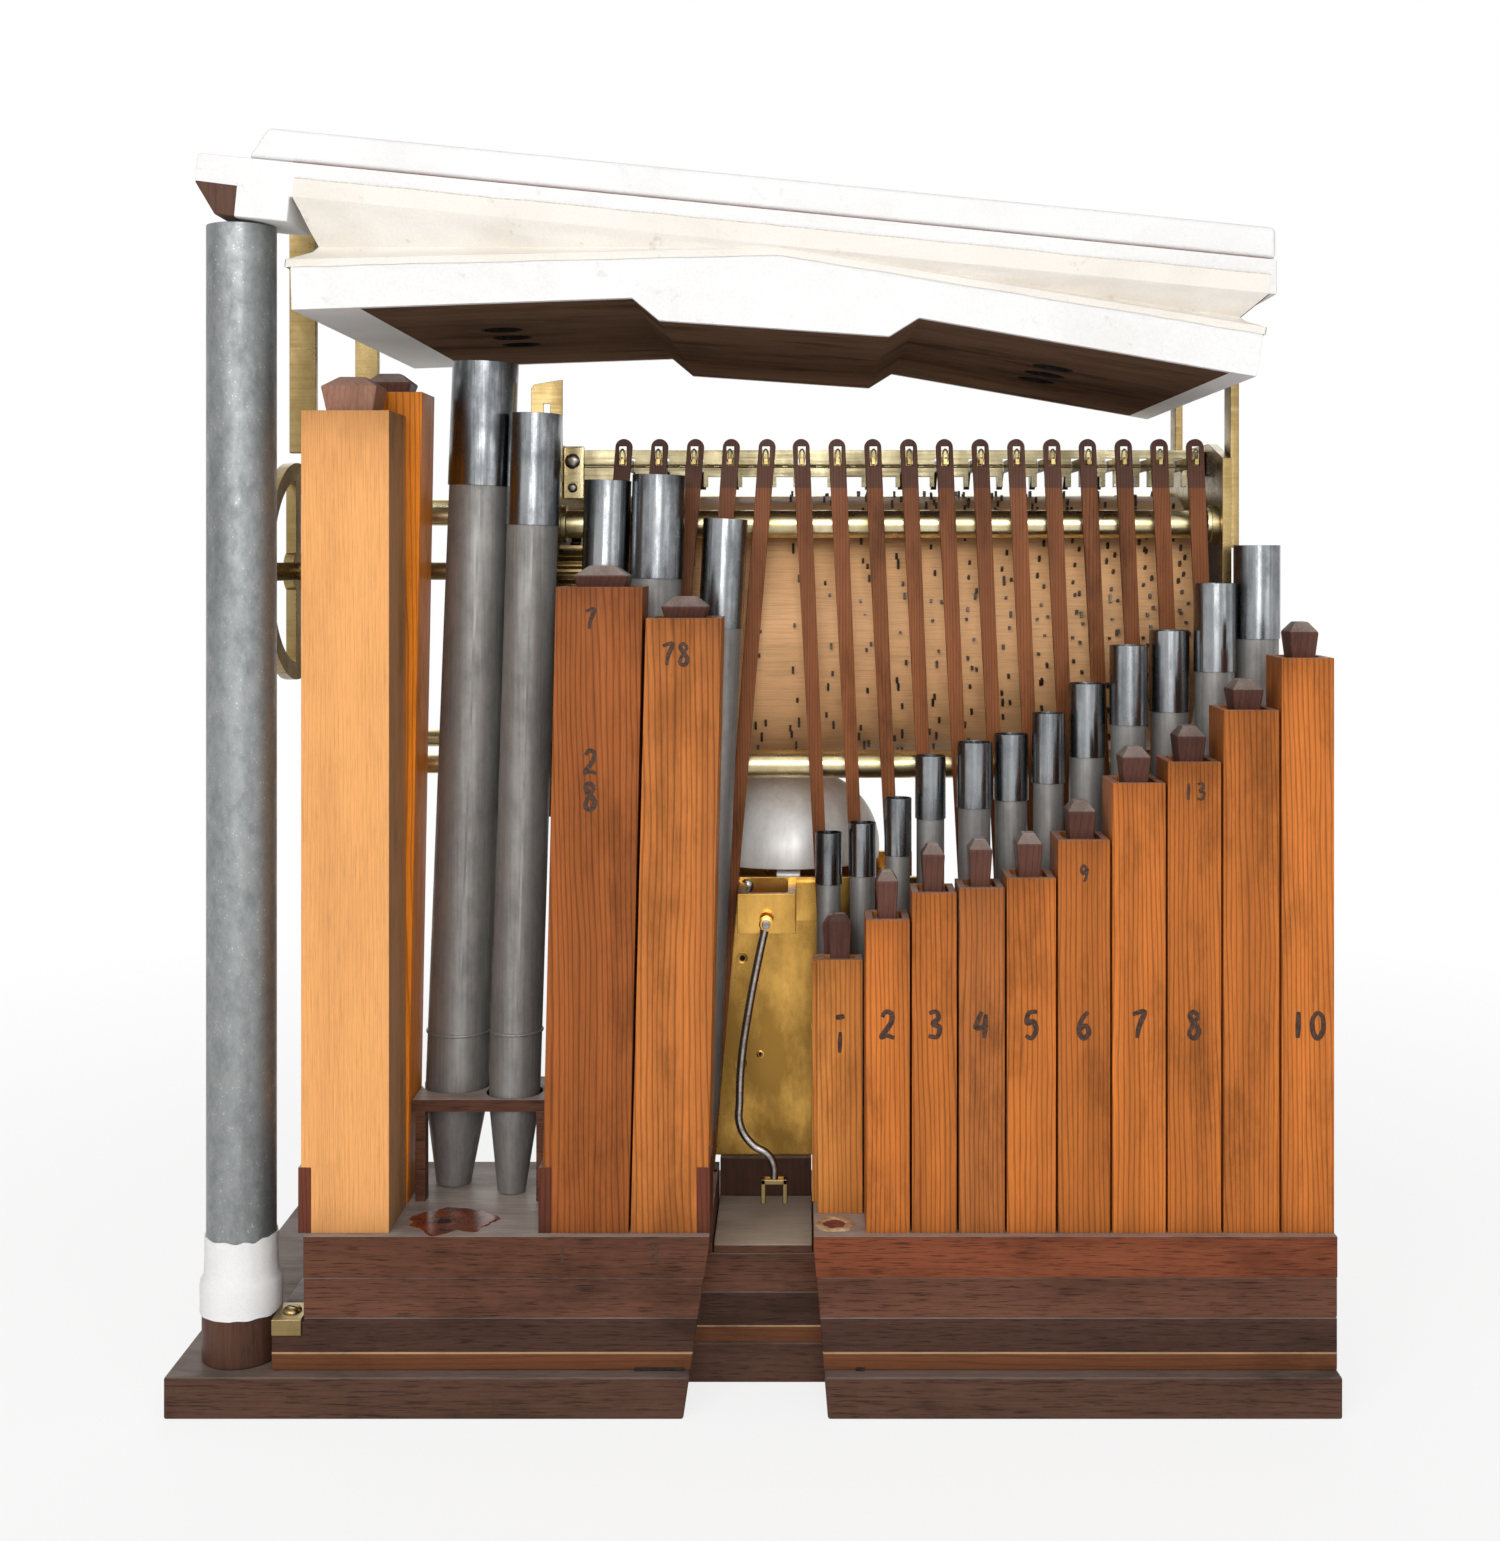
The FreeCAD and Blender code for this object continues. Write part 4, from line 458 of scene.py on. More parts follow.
def dressed(node, width, looks, choose=None, shape=None):
    """A CAD node with rounded edges, a grain of its own for each solid, and a look for each face."""
    mesh = welded(node)
    if width:
        edges = [e for e in mesh.edges if len(e.link_faces) == 2 and e.calc_face_angle(0.0) > EDGE_ANGLE]
        rounded(mesh, edges, width)
    if shape:
        shape(mesh)
    return piece(node + "_shown", mesh, looks, BODY[node], [node], choose)


def skinned(mesh, rings, index=0, joined=False):
    """A closed shape over rings of points: capped at both ends, or with its end joined to its start."""
    rows = [[mesh.verts.new(point) for point in ring] for ring in rings]
    faces = [] if joined else [mesh.faces.new(rows[0][::-1]), mesh.faces.new(rows[-1])]
    for low, high in zip(rows, rows[1:] + (rows[:1] if joined else [])):
        for i, point in enumerate(low):
            j = (i + 1) % len(low)
            faces.append(mesh.faces.new((point, low[j], high[j], high[i])))
    for face in faces:
        face.material_index = index
    return faces


def turned_out(mesh):
    """Turns every face to the outside."""
    bmesh.ops.recalc_face_normals(mesh, faces=mesh.faces)


def circle(count):
    """Directions all round, as points on a circle of radius one."""
    turns = [2.0 * math.pi * i / count for i in range(count)]
    return [Vector((math.cos(turn), math.sin(turn), 0.0)) for turn in turns]


def ring_of_wire(mesh, centre, shape, sides, steps=10):
    """A closed ring of wire: shape gives its line and its two half widths for each direction, in mm."""
    rings = []
    for out in circle(sides):
        line, outward, upward = shape(out)
        rings.append([(centre + line + outward * p.x + upward * p.y) * MM for p in circle(steps)])
    skinned(mesh, rings, joined=True)


# Wooden pipes: the four tall ones at the left differ in colour from each other and from the right row.
PINE_END, RED_END, BROWN_END = -105.0, -40.0, -5.0
BACK_ROW_Y = -75.0
DARK_PIPE_X = (62.0, 77.0)
SHADED_SIDE_FACE = 0.7
CAPS = ((-138.7, -134.7), (-65.5, -61.5), (-17.4, -13.4))
CAP_TOP, CAP_SLACK = 20.0, 0.1
PIPE_WOODS = ["pine", "orange_pine", "red_pine", "cap_wood", "pipe_wood", "pine_shaded_side", "brown_pine",
              "small_pine_lit", "dark_pine"]


def pipe_look(low, high, face):
    """Which wood a pipe or a mouth cap is made of. The first pipe's right side gets a darker copy of its
    pine as painted shade, and the small back pipes get a lighter copy of the pipe wood as painted light.
    """
    at = face.calc_center_median() / MM
    middle = 0.5 * (low.x + high.x)
    front = low.y < BACK_ROW_Y
    if front and at.z < low.z + CAP_TOP and any(a - CAP_SLACK < at.x < b + CAP_SLACK for a, b in CAPS):
        return "cap_wood"
    if low.x < PINE_END:
        if front:
            # The right side gets painted shade.
            return "pine_shaded_side" if face.normal.x > SHADED_SIDE_FACE else "pine"
        return "orange_pine"
    if high.x < BROWN_END:
        return "red_pine" if middle < RED_END else "brown_pine"
    if DARK_PIPE_X[0] < middle < DARK_PIPE_X[1]:
        return "dark_pine"
    # The small back pipes get painted light.
    return "pipe_wood" if front else "small_pine_lit"


def cap_cuts(mesh):
    """Lines round the mouth caps that show at the sides of three tall pipes."""
    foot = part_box("wood_pipes")[0][2] / MM
    for left, right in CAPS:
        planes = [((x * MM, 0.0, 0.0), TO_RIGHT) for x in (left, right)]
        for plane in (*planes, level(foot + CAP_TOP)):
            for group in islands(mesh):
                low, high = extent(group)
                if low.y < BACK_ROW_Y and low.x < 0.5 * (left + right) < high.x:
                    cut(mesh, *plane, group)


def stopper_look(low, high, face):
    """The first stopper is paler than the others."""
    return "pale_stopper" if low.x < PINE_END and low.y < BACK_ROW_Y else "stopper_wood"


# Wind chest: two planks in its side, dust and painted light on the shelf, and a worn upper edge on the floor
# board.
PLANK_JOINT_Z, GROOVE_HALF, GROOVE_DEPTH = 28.6, 0.3, 0.4
CHEST_FLOOR_TOP_Z = 18.25
WORN_EDGE_Z = 17.6
SHELF_Z = (42.5, 44.0)
LEVEL_FACE = 0.9
LEFT_TOE_X = -50.0
ON_JOINT = 0.01 * MM


def chest_look(low, high, face):
    """The chest's floor board is lighter than its body, and the body's lower plank is darker."""
    z = face.calc_center_median().z / MM
    flat = face.normal.z > LEVEL_FACE
    if z < CHEST_FLOOR_TOP_Z:
        return "worn_edge" if z > WORN_EDGE_Z and not flat else "floor_wood"
    # The shelf's top: dust and painted light.
    if flat and SHELF_Z[0] < z < SHELF_Z[1]:
        return "dust_and_shelf_light"
    return "chest_dark" if z < PLANK_JOINT_Z else "chest_wood"


def chest_planks(mesh):
    """A shallow V for the joint between the side's two planks, and the floor board's worn edge."""
    for step in (-GROOVE_HALF, 0.0, GROOVE_HALF):
        cut(mesh, *level(PLANK_JOINT_Z + step))
    mesh.normal_update()
    joint = [vert for vert in mesh.verts if abs(vert.co.z - PLANK_JOINT_Z * MM) < ON_JOINT]
    for vert, normal in [(vert, vert.normal.copy()) for vert in joint]:
        vert.co -= normal * GROOVE_DEPTH * MM
    cut(mesh, *level(WORN_EDGE_Z))


def toe_look(low, high, face):
    """The left toe board is browner than the right one."""
    return "toe_dark" if low.x < LEFT_TOE_X else "toe_wood"


# Stickers: dark heads, each with a link of brass wire in its eye.
HEAD_Z = 282.0
EYE_Y, EYE_Z = -29.7, 292.6
LINK_WIDE, LINK_HIGH, LINK_WIRE = 0.85, 2.3, 0.32
LINK_HEIGHT = 8.0


def link_shape(out):
    """A long upright loop of wire."""
    line = Vector((LINK_WIDE * out.x, 0.0, LINK_HIGH * out.y))
    return line, Vector((out.x, 0.0, out.y)) * LINK_WIRE, Vector((0.0, LINK_WIRE, 0.0))


def sticker_head(mesh):
    """Marks off a sticker's head, and hangs a link of wire in its eye."""
    cut(mesh, *level(HEAD_Z))
    top = [vert.co.x / MM for vert in mesh.verts if vert.co.z > HEAD_Z * MM]
    ring_of_wire(mesh, Vector((0.5 * (min(top) + max(top)), EYE_Y, EYE_Z)), link_shape, 20, 8)


def sticker_look(low, high, face):
    """Brass for the link, dark wood for the head, and brown wood below."""
    if high.z - low.z < LINK_HEIGHT:
        return "brass"
    return "sticker_head" if face.calc_center_median().z > HEAD_Z * MM else "sticker_wood"


dressed("wood_pipes", 0.45, PIPE_WOODS, pipe_look, cap_cuts)
dressed("pipe_stoppers", 0.9, ["stopper_wood", "pale_stopper"], stopper_look)
dressed("wind_chest", 0.5, ["chest_wood", "chest_dark", "floor_wood", "worn_edge", "dust_and_shelf_light"], chest_look,
        chest_planks)
dressed("toe_boards", 0.5, ["toe_wood", "toe_dark"], toe_look)
for node, width, look in (
    ("base_board", 0.7, "base_wood"),
    ("trunk_socket", 0.6, "dark_wood"),
    ("pipe_rack", 0.4, "toe_dark"),
    ("barrel_body", 0.4, "barrel_wood"),
    ("wind_trunk", 0.15, "zinc"),
    ("metal_pipes", 0.10, "pipe_metal"),
    ("tuning_slides", 0.08, "tin"),
    ("frame_plates", 0.25, "brass"),
    ("frame_pillars", 0.3, "pale_brass"),
    ("key_bar", 0.2, "bar_brass"),
    ("clock_movement", 0.15, "clock_brass"),
    ("bell", 0.3, "bell_metal"),
    ("barrel_wheel", 0.1, "brass"),
    ("barrel_pins", 0.0, "dark_steel"),
    ("barrel_arbor", 0.2, "steel"),
    ("drive_arbor", 0.1, "brass"),
    ("bellows_brackets", 0.3, "brass"),
):
    dressed(node, width, [look])
for number in range(1, KEYS + 1):
    dressed("key_%02d" % number, 0.08, ["brass"])
    dressed("sticker_%02d" % number, 0.25, ["sticker_wood", "sticker_head", "brass"], sticker_look,
            sticker_head)

# Bellows, in the sloping frame's own places: u along the frame, w up from its underside, both in mm.
TILT = math.radians(5.65)
PIVOT = (8.0, 353.1)
FRONT_Y, BACK_Y = -91.0, 87.0
LONG_SIDES = ((FRONT_Y, 1.0), (BACK_Y, -1.0))
FRAME_TOP_W = 10.6
LUG_WOOD_U, LUG_SPLIT_W = -165.0, 1.8
WING_DROP = {-1: math.radians(7.0), 1: math.radians(3.6)}
WING_GAP = 0.8
WING_END = {-1: 148.0, 1: 148.5}
FOLD_AT = 0.74
FOLD_DEPTH = {-1: 0.42, 1: 0.7}
FOLD_SHARES = [i / 10 for i in range(11)]
SIDE_STEPS, END_STEPS = 60, 30
SIDE_WAVE, END_WAVE, WAVE_SCALE, WAVE_SPAN = 0.08, 1.2, 11.0, 30.0
SKIN = 0.35
TOP_LAP, LOW_LAP, LAP_RIPPLE, LAP_START, LAP_FOOT = 6.0, 2.2, 0.3, 0.6, 0.3
TOP_SCALE, LOW_SCALE, LOW_SHIFT, END_SHIFT = 7.0, 9.0, 40.0, 7.0
FRAY = 0.35
FEEDER_RIM = 2.6
FEEDER_END_RIM = {-1: 23.0, 1: 9.0}
WALL_UP = 0.3
INTAKE_U, INTAKE_PITCH, INTAKE_RADIUS = 95.0, 22.0, 7.0
INTAKE_YS = [0.5 * (FRONT_Y + BACK_Y) + step * INTAKE_PITCH for step in (-1, 0, 1)]
INTAKE_NEAR = INTAKE_RADIUS + 2.5
INTAKE_WALL = 0.6
RESERVOIR_LOW_W = 10.9
RESERVOIR_FOLD, RESERVOIR_EDGE = 15.0, 0.6
RESERVOIR_ENDS_U = (-149.0, 148.0)
RESERVOIR_FRONT_Y = FRONT_Y + 1.0
LONG_STEPS, SHORT_STEPS, CREASE_STEPS = 40, 24, 8
SEAM_DEPTH, SEAM_THICK, SEAM_RIPPLE, SEAM_SCALE = (0.45, 0.85), 1.0, 0.18, 6.0
SEAM_W = (FRAME_TOP_W - 0.5, FRAME_TOP_W + 0.2)
SEAM_STEPS = 120


def bellows(u, w, y):
    """A point of the bellows, in metres."""
    x = PIVOT[0] + u * math.cos(TILT) + w * math.sin(TILT)
    z = PIVOT[1] - u * math.sin(TILT) + w * math.cos(TILT)
    return Vector((x, y, z)) * MM


def to_bellows(point):
    """u and w of a point given in metres."""
    x = point.x / MM - PIVOT[0]
    z = point.z / MM - PIVOT[1]
    return x * math.cos(TILT) - z * math.sin(TILT), x * math.sin(TILT) + z * math.cos(TILT)


ONE_U, ONE_W = (bellows(*step, 0.0) - bellows(0.0, 0.0, 0.0) for step in ((1.0, 0.0), (0.0, 1.0)))


def ripple(a, b, scale, size):
    """A small smooth unevenness, the same at every run."""
    return size * noise.noise(Vector((a / scale, b / scale, 0.37)))


def grid(mesh, columns):
    """Faces between columns of points, as one list for each pair of columns."""
    rows = [[mesh.verts.new(point) for point in column] for column in columns]
    faces = []
    for left, right in zip(rows, rows[1:]):
        faces.append([mesh.faces.new(corners) for corners in zip(left, right, right[1:], left[1:])])
    return faces


def wing_top(side, u):
    """How far below the frame a feeder wing's top is at u."""
    return WING_GAP + u * math.tan(WING_DROP[side])


def fold_share(share):
    """How far into its fold the leather is, from 0 at its edges to 1 at the crease."""
    return share / FOLD_AT if share < FOLD_AT else (1.0 - share) / (1.0 - FOLD_AT)


def gusset_side(mesh, side, outer_y, inward):
    """A long side of a feeder's leather: over the frame's edge, in to a crease, out over the wing."""
    end_fold = FOLD_DEPTH[side] * wing_top(side, WING_END[side])
    skin_y = outer_y - inward * SKIN
    columns = []
    for i in range(SIDE_STEPS + 1):
        run = i / SIDE_STEPS
        u = run * WING_END[side]
        gap = wing_top(side, u)
        lap = TOP_LAP + ripple(u, outer_y, TOP_SCALE, LAP_RIPPLE)
        low_lap = LOW_LAP + ripple(u, outer_y + LOW_SHIFT, LOW_SCALE, LAP_RIPPLE)
        column = [bellows(side * u, w, skin_y) for w in (lap, lap - FRAY, 0.5 * lap, LAP_FOOT)]
        for share in FOLD_SHARES:
            fold = fold_share(share)
            wave = ripple(u, WAVE_SPAN * share, WAVE_SCALE, SIDE_WAVE * gap) * math.sin(math.pi * share)
            y = skin_y + inward * (FOLD_DEPTH[side] * gap * fold + wave)
            column.append(bellows(side * (u - run * fold * end_fold), -share * gap, y))
        column += [bellows(side * u, -gap - w, skin_y) for w in (LAP_START, 0.5 * low_lap, low_lap)]
        columns.append(column)
    for strip in grid(mesh, columns if inward * side > 0 else columns[::-1]):
        strip[0].material_index = 1


def gusset_end(mesh, side):
    """The short end of a feeder's leather, folded in between the frame and the wing."""
    gap = wing_top(side, WING_END[side])
    skin_u = WING_END[side] + SKIN
    columns = []
    for i in range(END_STEPS + 1):
        run = i / END_STEPS
        column = []
        for share in FOLD_SHARES:
            depth = FOLD_DEPTH[side] * gap * fold_share(share)
            y = FRONT_Y + depth + run * (BACK_Y - FRONT_Y - 2.0 * depth)
            wave = ripple(y, WAVE_SPAN * share, WAVE_SCALE, END_WAVE * math.sin(math.pi * run))
            wave *= math.sin(math.pi * share)
            column.append(bellows(side * (skin_u - depth + wave), -share * gap, y))
        y = FRONT_Y + run * (BACK_Y - FRONT_Y)
        low_lap = LOW_LAP + ripple(y, END_SHIFT, LOW_SCALE, LAP_RIPPLE)
        column += [bellows(side * skin_u, -gap - w, y) for w in (LAP_START, 0.5 * low_lap, low_lap)]
        columns.append(column)
    grid(mesh, columns if side > 0 else columns[::-1])


def gusset(side, name):
    """The folded leather of one feeder."""
    mesh = bmesh.new()
    for outer_y, inward in LONG_SIDES:
        gusset_side(mesh, side, outer_y, inward)
    gusset_end(mesh, side)
    made = piece(name, mesh, ["gusset_leather", "fray"], None)
    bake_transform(made)
    return made


def fold_column(u, y, du, dy):
    """One line of the reservoir's leather, from the frame in to the crease and out to the top board."""
    points = []
    for i in range(CREASE_STEPS + 1):
        share = i / CREASE_STEPS
        depth = RESERVOIR_FOLD * (1.0 - abs(2.0 * share - 1.0)) + RESERVOIR_EDGE
        w = FRAME_TOP_W + share * (RESERVOIR_LOW_W - FRAME_TOP_W)
        points.append(bellows(u + du * depth, w, y + dy * depth))
    return points


def reservoir_fold():
    """The leather of the reservoir, folded flat between the frame and the top board."""
    mesh = bmesh.new()
    left, right = RESERVOIR_ENDS_U
    front, deep = RESERVOIR_FRONT_Y, BACK_Y - RESERVOIR_FRONT_Y
    along_side, along_end = ([i / steps for i in range(steps + 1)] for steps in (LONG_STEPS, SHORT_STEPS))
    grid(mesh, [fold_column(right + (left - right) * s, front, s, 1.0) for s in along_side])
    grid(mesh, [fold_column(left, front + deep * s, 1.0, 1.0 - 2.0 * s) for s in along_end])
    grid(mesh, [fold_column(left + (right - left) * s, BACK_Y, 1.0 - s, -1.0) for s in along_side])
    made = piece("reservoir_gusset", mesh, ["gusset_leather"], None)
    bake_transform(made)


def reservoir_seam():
    """A cord of dark red thread in the groove between the frame and the top board, front and back."""
    mesh = bmesh.new()
    left, right = RESERVOIR_ENDS_U
    low, high = SEAM_W
    for outer_y, inward in LONG_SIDES:
        rings = []
        for i in range(SEAM_STEPS + 1):
            run = i / SEAM_STEPS
            u = left + (right - left) * run
            depth = SEAM_DEPTH[0] + (SEAM_DEPTH[1] - SEAM_DEPTH[0]) * run
            depth += ripple(u, outer_y, SEAM_SCALE, SEAM_RIPPLE)
            near, far = outer_y + inward * depth, outer_y + inward * (depth + SEAM_THICK)
            rings.append([bellows(u, w, y) for w, y in ((low, far), (low, near), (high, near), (high, far))])
        skinned(mesh, rings)
    turned_out(mesh)
    piece("reservoir_seam", mesh, ["seam"], "movement")


def lug_cut(mesh):
    """The line between the leather and the bare wood under the lug."""
    cut(mesh, bellows(LUG_WOOD_U, 0.0, 0.0), ONE_U)
    faces = [face for face in mesh.faces if to_bellows(face.calc_center_median())[0] < LUG_WOOD_U]
    cut(mesh, bellows(0.0, LUG_SPLIT_W, 0.0), ONE_W, faces)


def frame_look(low, high, face):
    """Leather over the frame, and bare wood under the end of its lug."""
    u, w = to_bellows(face.calc_center_median())
    return "dark_wood" if u < LUG_WOOD_U and w < LUG_SPLIT_W else "bellows_leather"


def feeder_cuts(mesh):
    """The lines between the leather rim and the bare wood under the feeder."""
    for y in (FRONT_Y + FEEDER_RIM, BACK_Y - FEEDER_RIM):
        cut(mesh, (0.0, y * MM, 0.0), (0.0, 1.0, 0.0))
    for side in (-1, 1):
        cut(mesh, bellows(side * (WING_END[side] - FEEDER_END_RIM[side]), 0.0, 0.0), ONE_U)


def feeder_look(low, high, face):
    """Bare wood under the feeder inside its leather rim, and painted shade on the walls of its holes."""
    middle = face.calc_center_median()
    u, y = to_bellows(middle)[0], middle.y / MM
    near_u = abs(abs(u) - INTAKE_U) < INTAKE_NEAR
    # The walls of the holes get painted shade.
    if abs(face.normal.z) < INTAKE_WALL and near_u and min(abs(y - at) for at in INTAKE_YS) < INTAKE_NEAR:
        return "hole"
    side = 1 if u > 0.0 else -1
    inside = FRONT_Y + FEEDER_RIM < y < BACK_Y - FEEDER_RIM
    short = abs(u) < WING_END[side] - FEEDER_END_RIM[side]
    return "feeder_wood" if inside and short and face.normal.z < WALL_UP else "bellows_leather"


dressed("bellows_frame", 1.2, ["bellows_leather", "dark_wood"], frame_look, lug_cut)
dressed("reservoir_board", 1.4, ["bellows_leather"])
dressed("feeder_board", 1.8, ["bellows_leather", "feeder_wood", "hole"], feeder_look, feeder_cuts)
left_gusset = gusset(-1, "left_gusset")
gusset(1, "right_gusset")
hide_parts("feeder_leather")
reservoir_fold()
reservoir_seam()

# Small pieces that the photograph shows on the solids.
SCREW_RISE, SCREW_SLOT, SCREW_SUNK, SCREW_RIM = 0.45, 0.14, 0.4, 0.3
SCREW_ROOT, SCREW_SIDES = 0.2, 28
SCREW_DOME = ((1.0, 0.25), (0.86, 0.7), (0.5, 0.95), (0.12, 1.0))


def tube(name, points, radius, look, body):
    """A smooth wire through some points, in mm."""
    curve = bpy.data.curves.new(name, "CURVE")
    curve.dimensions = "3D"
    curve.bevel_depth = radius * MM
    curve.bevel_resolution = 4
    curve.use_fill_caps = True
    spline = curve.splines.new("BEZIER")
    spline.bezier_points.add(len(points) - 1)
    for knot, point in zip(spline.bezier_points, points):
        knot.co = Vector(point) * MM
        knot.handle_left_type = knot.handle_right_type = "AUTO"
    curve.materials.append(LOOKS[look])
    placed(name, curve, body)


def facing(place, direction):
    """A matrix that puts a turned shape at a place in mm, with its axis along a direction."""
    turn = Vector(direction).to_track_quat("Z", "Y").to_matrix().to_4x4()
    return Matrix.Translation(Vector(place) * MM) @ turn


def lathed(mesh, profile, turn, sides, index=0):
    """A closed turned shape from (radius, height) pairs in mm, placed by a matrix."""
    rings = []
    for radius, height in profile:
        rings.append([turn @ (Vector((radius * p.x, radius * p.y, height)) * MM) for p in circle(sides)])
    return skinned(mesh, rings, index)


def block(mesh, low, high, width, index=0):
    """A small block with rounded edges, from corner to corner in mm."""
    low, high = Vector(low), Vector(high)
    place = Matrix.Translation((low + high) * 0.5 * MM) @ Matrix.Diagonal((high - low) * MM).to_4x4()
    before = set(mesh.faces)
    made = bmesh.ops.create_cube(mesh, size=1.0, matrix=place)["verts"]
    rounded(mesh, list({edge for vert in made for edge in vert.link_edges}), width)
    for face in set(mesh.faces) - before:
        face.material_index = index


def screw(mesh, place, direction, radius, slot_turn, index=0):
    """A domed screw head with a slot, sunk a little into what it holds."""
    turn = facing(place, direction) @ Matrix.Rotation(math.radians(slot_turn), 4, "Z")
    sideways, outward = (turn.to_3x3() @ Vector(way) for way in (TO_RIGHT, UPWARD))
    centre = turn.translation
    rise, half = SCREW_RISE * radius, SCREW_SLOT * radius
    profile = [(radius, -SCREW_ROOT)] + [(radius * wide, rise * high) for wide, high in SCREW_DOME]
    whole = set(lathed(mesh, profile, turn, SCREW_SIDES, index))
    for sign in (-1.0, 1.0):
        before = set(mesh.faces)
        cut(mesh, centre + sideways * sign * half * MM, sideways, [f for f in whole if f.is_valid])
        whole = {f for f in whole if f.is_valid} | (set(mesh.faces) - before)
    inside = []
    for face in whole:
        middle = face.calc_center_median() - centre
        if abs(middle.dot(sideways)) < half * MM and middle.dot(outward) > SCREW_RIM * rise * MM:
            inside.append(face)
    sunk = bmesh.ops.extrude_face_region(mesh, geom=inside)["geom"]
    bmesh.ops.delete(mesh, geom=inside, context="FACES_ONLY")
    for vert in sunk:
        if isinstance(vert, bmesh.types.BMVert):
            vert.co -= outward * SCREW_SUNK * rise * MM


def solids(node):
    """The boxes of a node's solids in mm, from left to right."""
    bare = welded(node)
    boxes = [extent(group) for group in islands(bare)]
    bare.free()
    return boxes


# Crutch: arbor, boss, one smooth bent wire, and a fork of two brass prongs under a bridge.
CRUTCH_X, CRUTCH_Y, CRUTCH_Z = 3.1, -52.5, 140.4
ARBOR_BACK, ARBOR = -41.4, ((1.4, 0.0), (1.4, 12.9), (1.1, 13.1))
BOSS_BACK, BOSS = CRUTCH_Y + 2.2, ((2.1, 0.0), (2.3, 0.2), (2.3, 3.2), (1.5, 3.5))
CRUTCH_WIRE = 1.3
CRUTCH_LINE = ((3.1, 140.4), (0.6, 129.0), (-2.4, 113.4), (-4.9, 96.0), (-5.5, 83.4), (-5.3, 75.4),
               (-1.5, 69.4), (3.7, 65.9), (5.5, 62.5), (5.7, 58.0))
FORK_X, FORK_Z, FORK_HIGH, FORK_DEEP, FORK_ROUND = 5.7, 50.4, 8.0, 1.6, 0.3
FORK_BARS = ((-4.3, -2.7, 0.0), (2.7, 4.3, 0.0), (-4.3, 4.3, 6.2))

mesh = bmesh.new()
lathed(mesh, ARBOR, facing((CRUTCH_X, ARBOR_BACK, CRUTCH_Z), TO_FRONT), 20)
lathed(mesh, BOSS, facing((CRUTCH_X, BOSS_BACK, CRUTCH_Z), TO_FRONT), 24, 1)
for left, right, foot in FORK_BARS:
    block(mesh, (FORK_X + left, CRUTCH_Y - FORK_DEEP, FORK_Z + foot),
          (FORK_X + right, CRUTCH_Y + FORK_DEEP, FORK_Z + FORK_HIGH), FORK_ROUND, 2)
piece("crutch_shown", mesh, ["steel", "clock_brass", "brass"], "crutch", ["crutch"])
tube("crutch_wire", [(x, CRUTCH_Y, z) for x, z in CRUTCH_LINE], CRUTCH_WIRE, "steel", "crutch")

# Valve flaps: leather discs that close the feeder's intake holes from above, near black as painted shade
# inside the holes.
FLAP_DEPTH, FLAP_THICK = 2.0, 0.6
FLAP_RADIUS = INTAKE_RADIUS - 0.05

mesh = bmesh.new()
for side in (-1, 1):
    outward = Vector((side * math.cos(WING_DROP[side]), -math.sin(WING_DROP[side])))
    downward = Vector((-side * math.sin(WING_DROP[side]), -math.cos(WING_DROP[side])))
    spot = Vector((0.0, -WING_GAP)) + INTAKE_U * outward + FLAP_DEPTH * downward
    axis = bellows(*downward, 0.0) - bellows(0.0, 0.0, 0.0)
    for y in INTAKE_YS:
        profile = ((FLAP_RADIUS, -FLAP_THICK), (FLAP_RADIUS, 0.0))
        lathed(mesh, profile, facing(bellows(*spot, y) / MM, axis), 36)
piece("intake_flaps_shade", mesh, ["hole"], BODY["feeder_board"])

# A collar of white leather glued round the foot of the wind trunk and its socket, with torn edges.
TRUNK_X, TRUNK_Y = -158.4, -78.5
COLLAR = ((50.5, 10.95), (46.0, 11.0), (41.0, 11.05), (38.6, 11.3), (37.2, 12.1), (35.6, 12.45),
          (31.0, 12.4), (27.4, 12.35))
COLLAR_TEARS = {0: 1.1, len(COLLAR) - 1: 0.5}
COLLAR_THICK, COLLAR_LUMPS, COLLAR_SIDES = 0.4, 0.16, 72
TEAR_SCALE, ROW_SCALE, LUMP_SCALE = 3.0, 0.7, 2.3

mesh = bmesh.new()
columns = []
for out in circle(COLLAR_SIDES):
    columns.append([])
    for row, (z, radius) in enumerate(COLLAR):
        spot = out * TEAR_SCALE + Vector(UPWARD) * ROW_SCALE * row
        reach = radius + COLLAR_LUMPS * noise.noise(spot * LUMP_SCALE)
        height = z + COLLAR_TEARS.get(row, 0.0) * noise.noise(spot)
        columns[-1].append(Vector((TRUNK_X + reach * out.y, TRUNK_Y - reach * out.x, height)) * MM)
grid(mesh, columns + columns[:1])
bmesh.ops.remove_doubles(mesh, verts=mesh.verts, dist=WELD)
turned_out(mesh)
collar = piece("trunk_collar", mesh, ["bellows_leather"], "movement")
thick = collar.modifiers.new("thickness", "SOLIDIFY")
thick.thickness = COLLAR_THICK * MM
thick.offset = -1.0

# Further pins of the barrel: short wires spread by a fixed turn, denser to the right.
BARREL_AXIS = (27.0, 233.9)
BARREL_RADIUS = 47.0
PIN_WIDE, PIN_RISE, PIN_LONG, PIN_LONGER = 0.85, 2.0, 0.8, 0.3
KEY_X0, KEY_PITCH = -45.4, 12.0
TRACKS, TRACK_PITCH, TRACK_SHIFT = 4, 1.0, 0.5
FEWEST_NOTES, NOTE_GROWTH = 2, 13
GOLDEN_TURN = 137.508

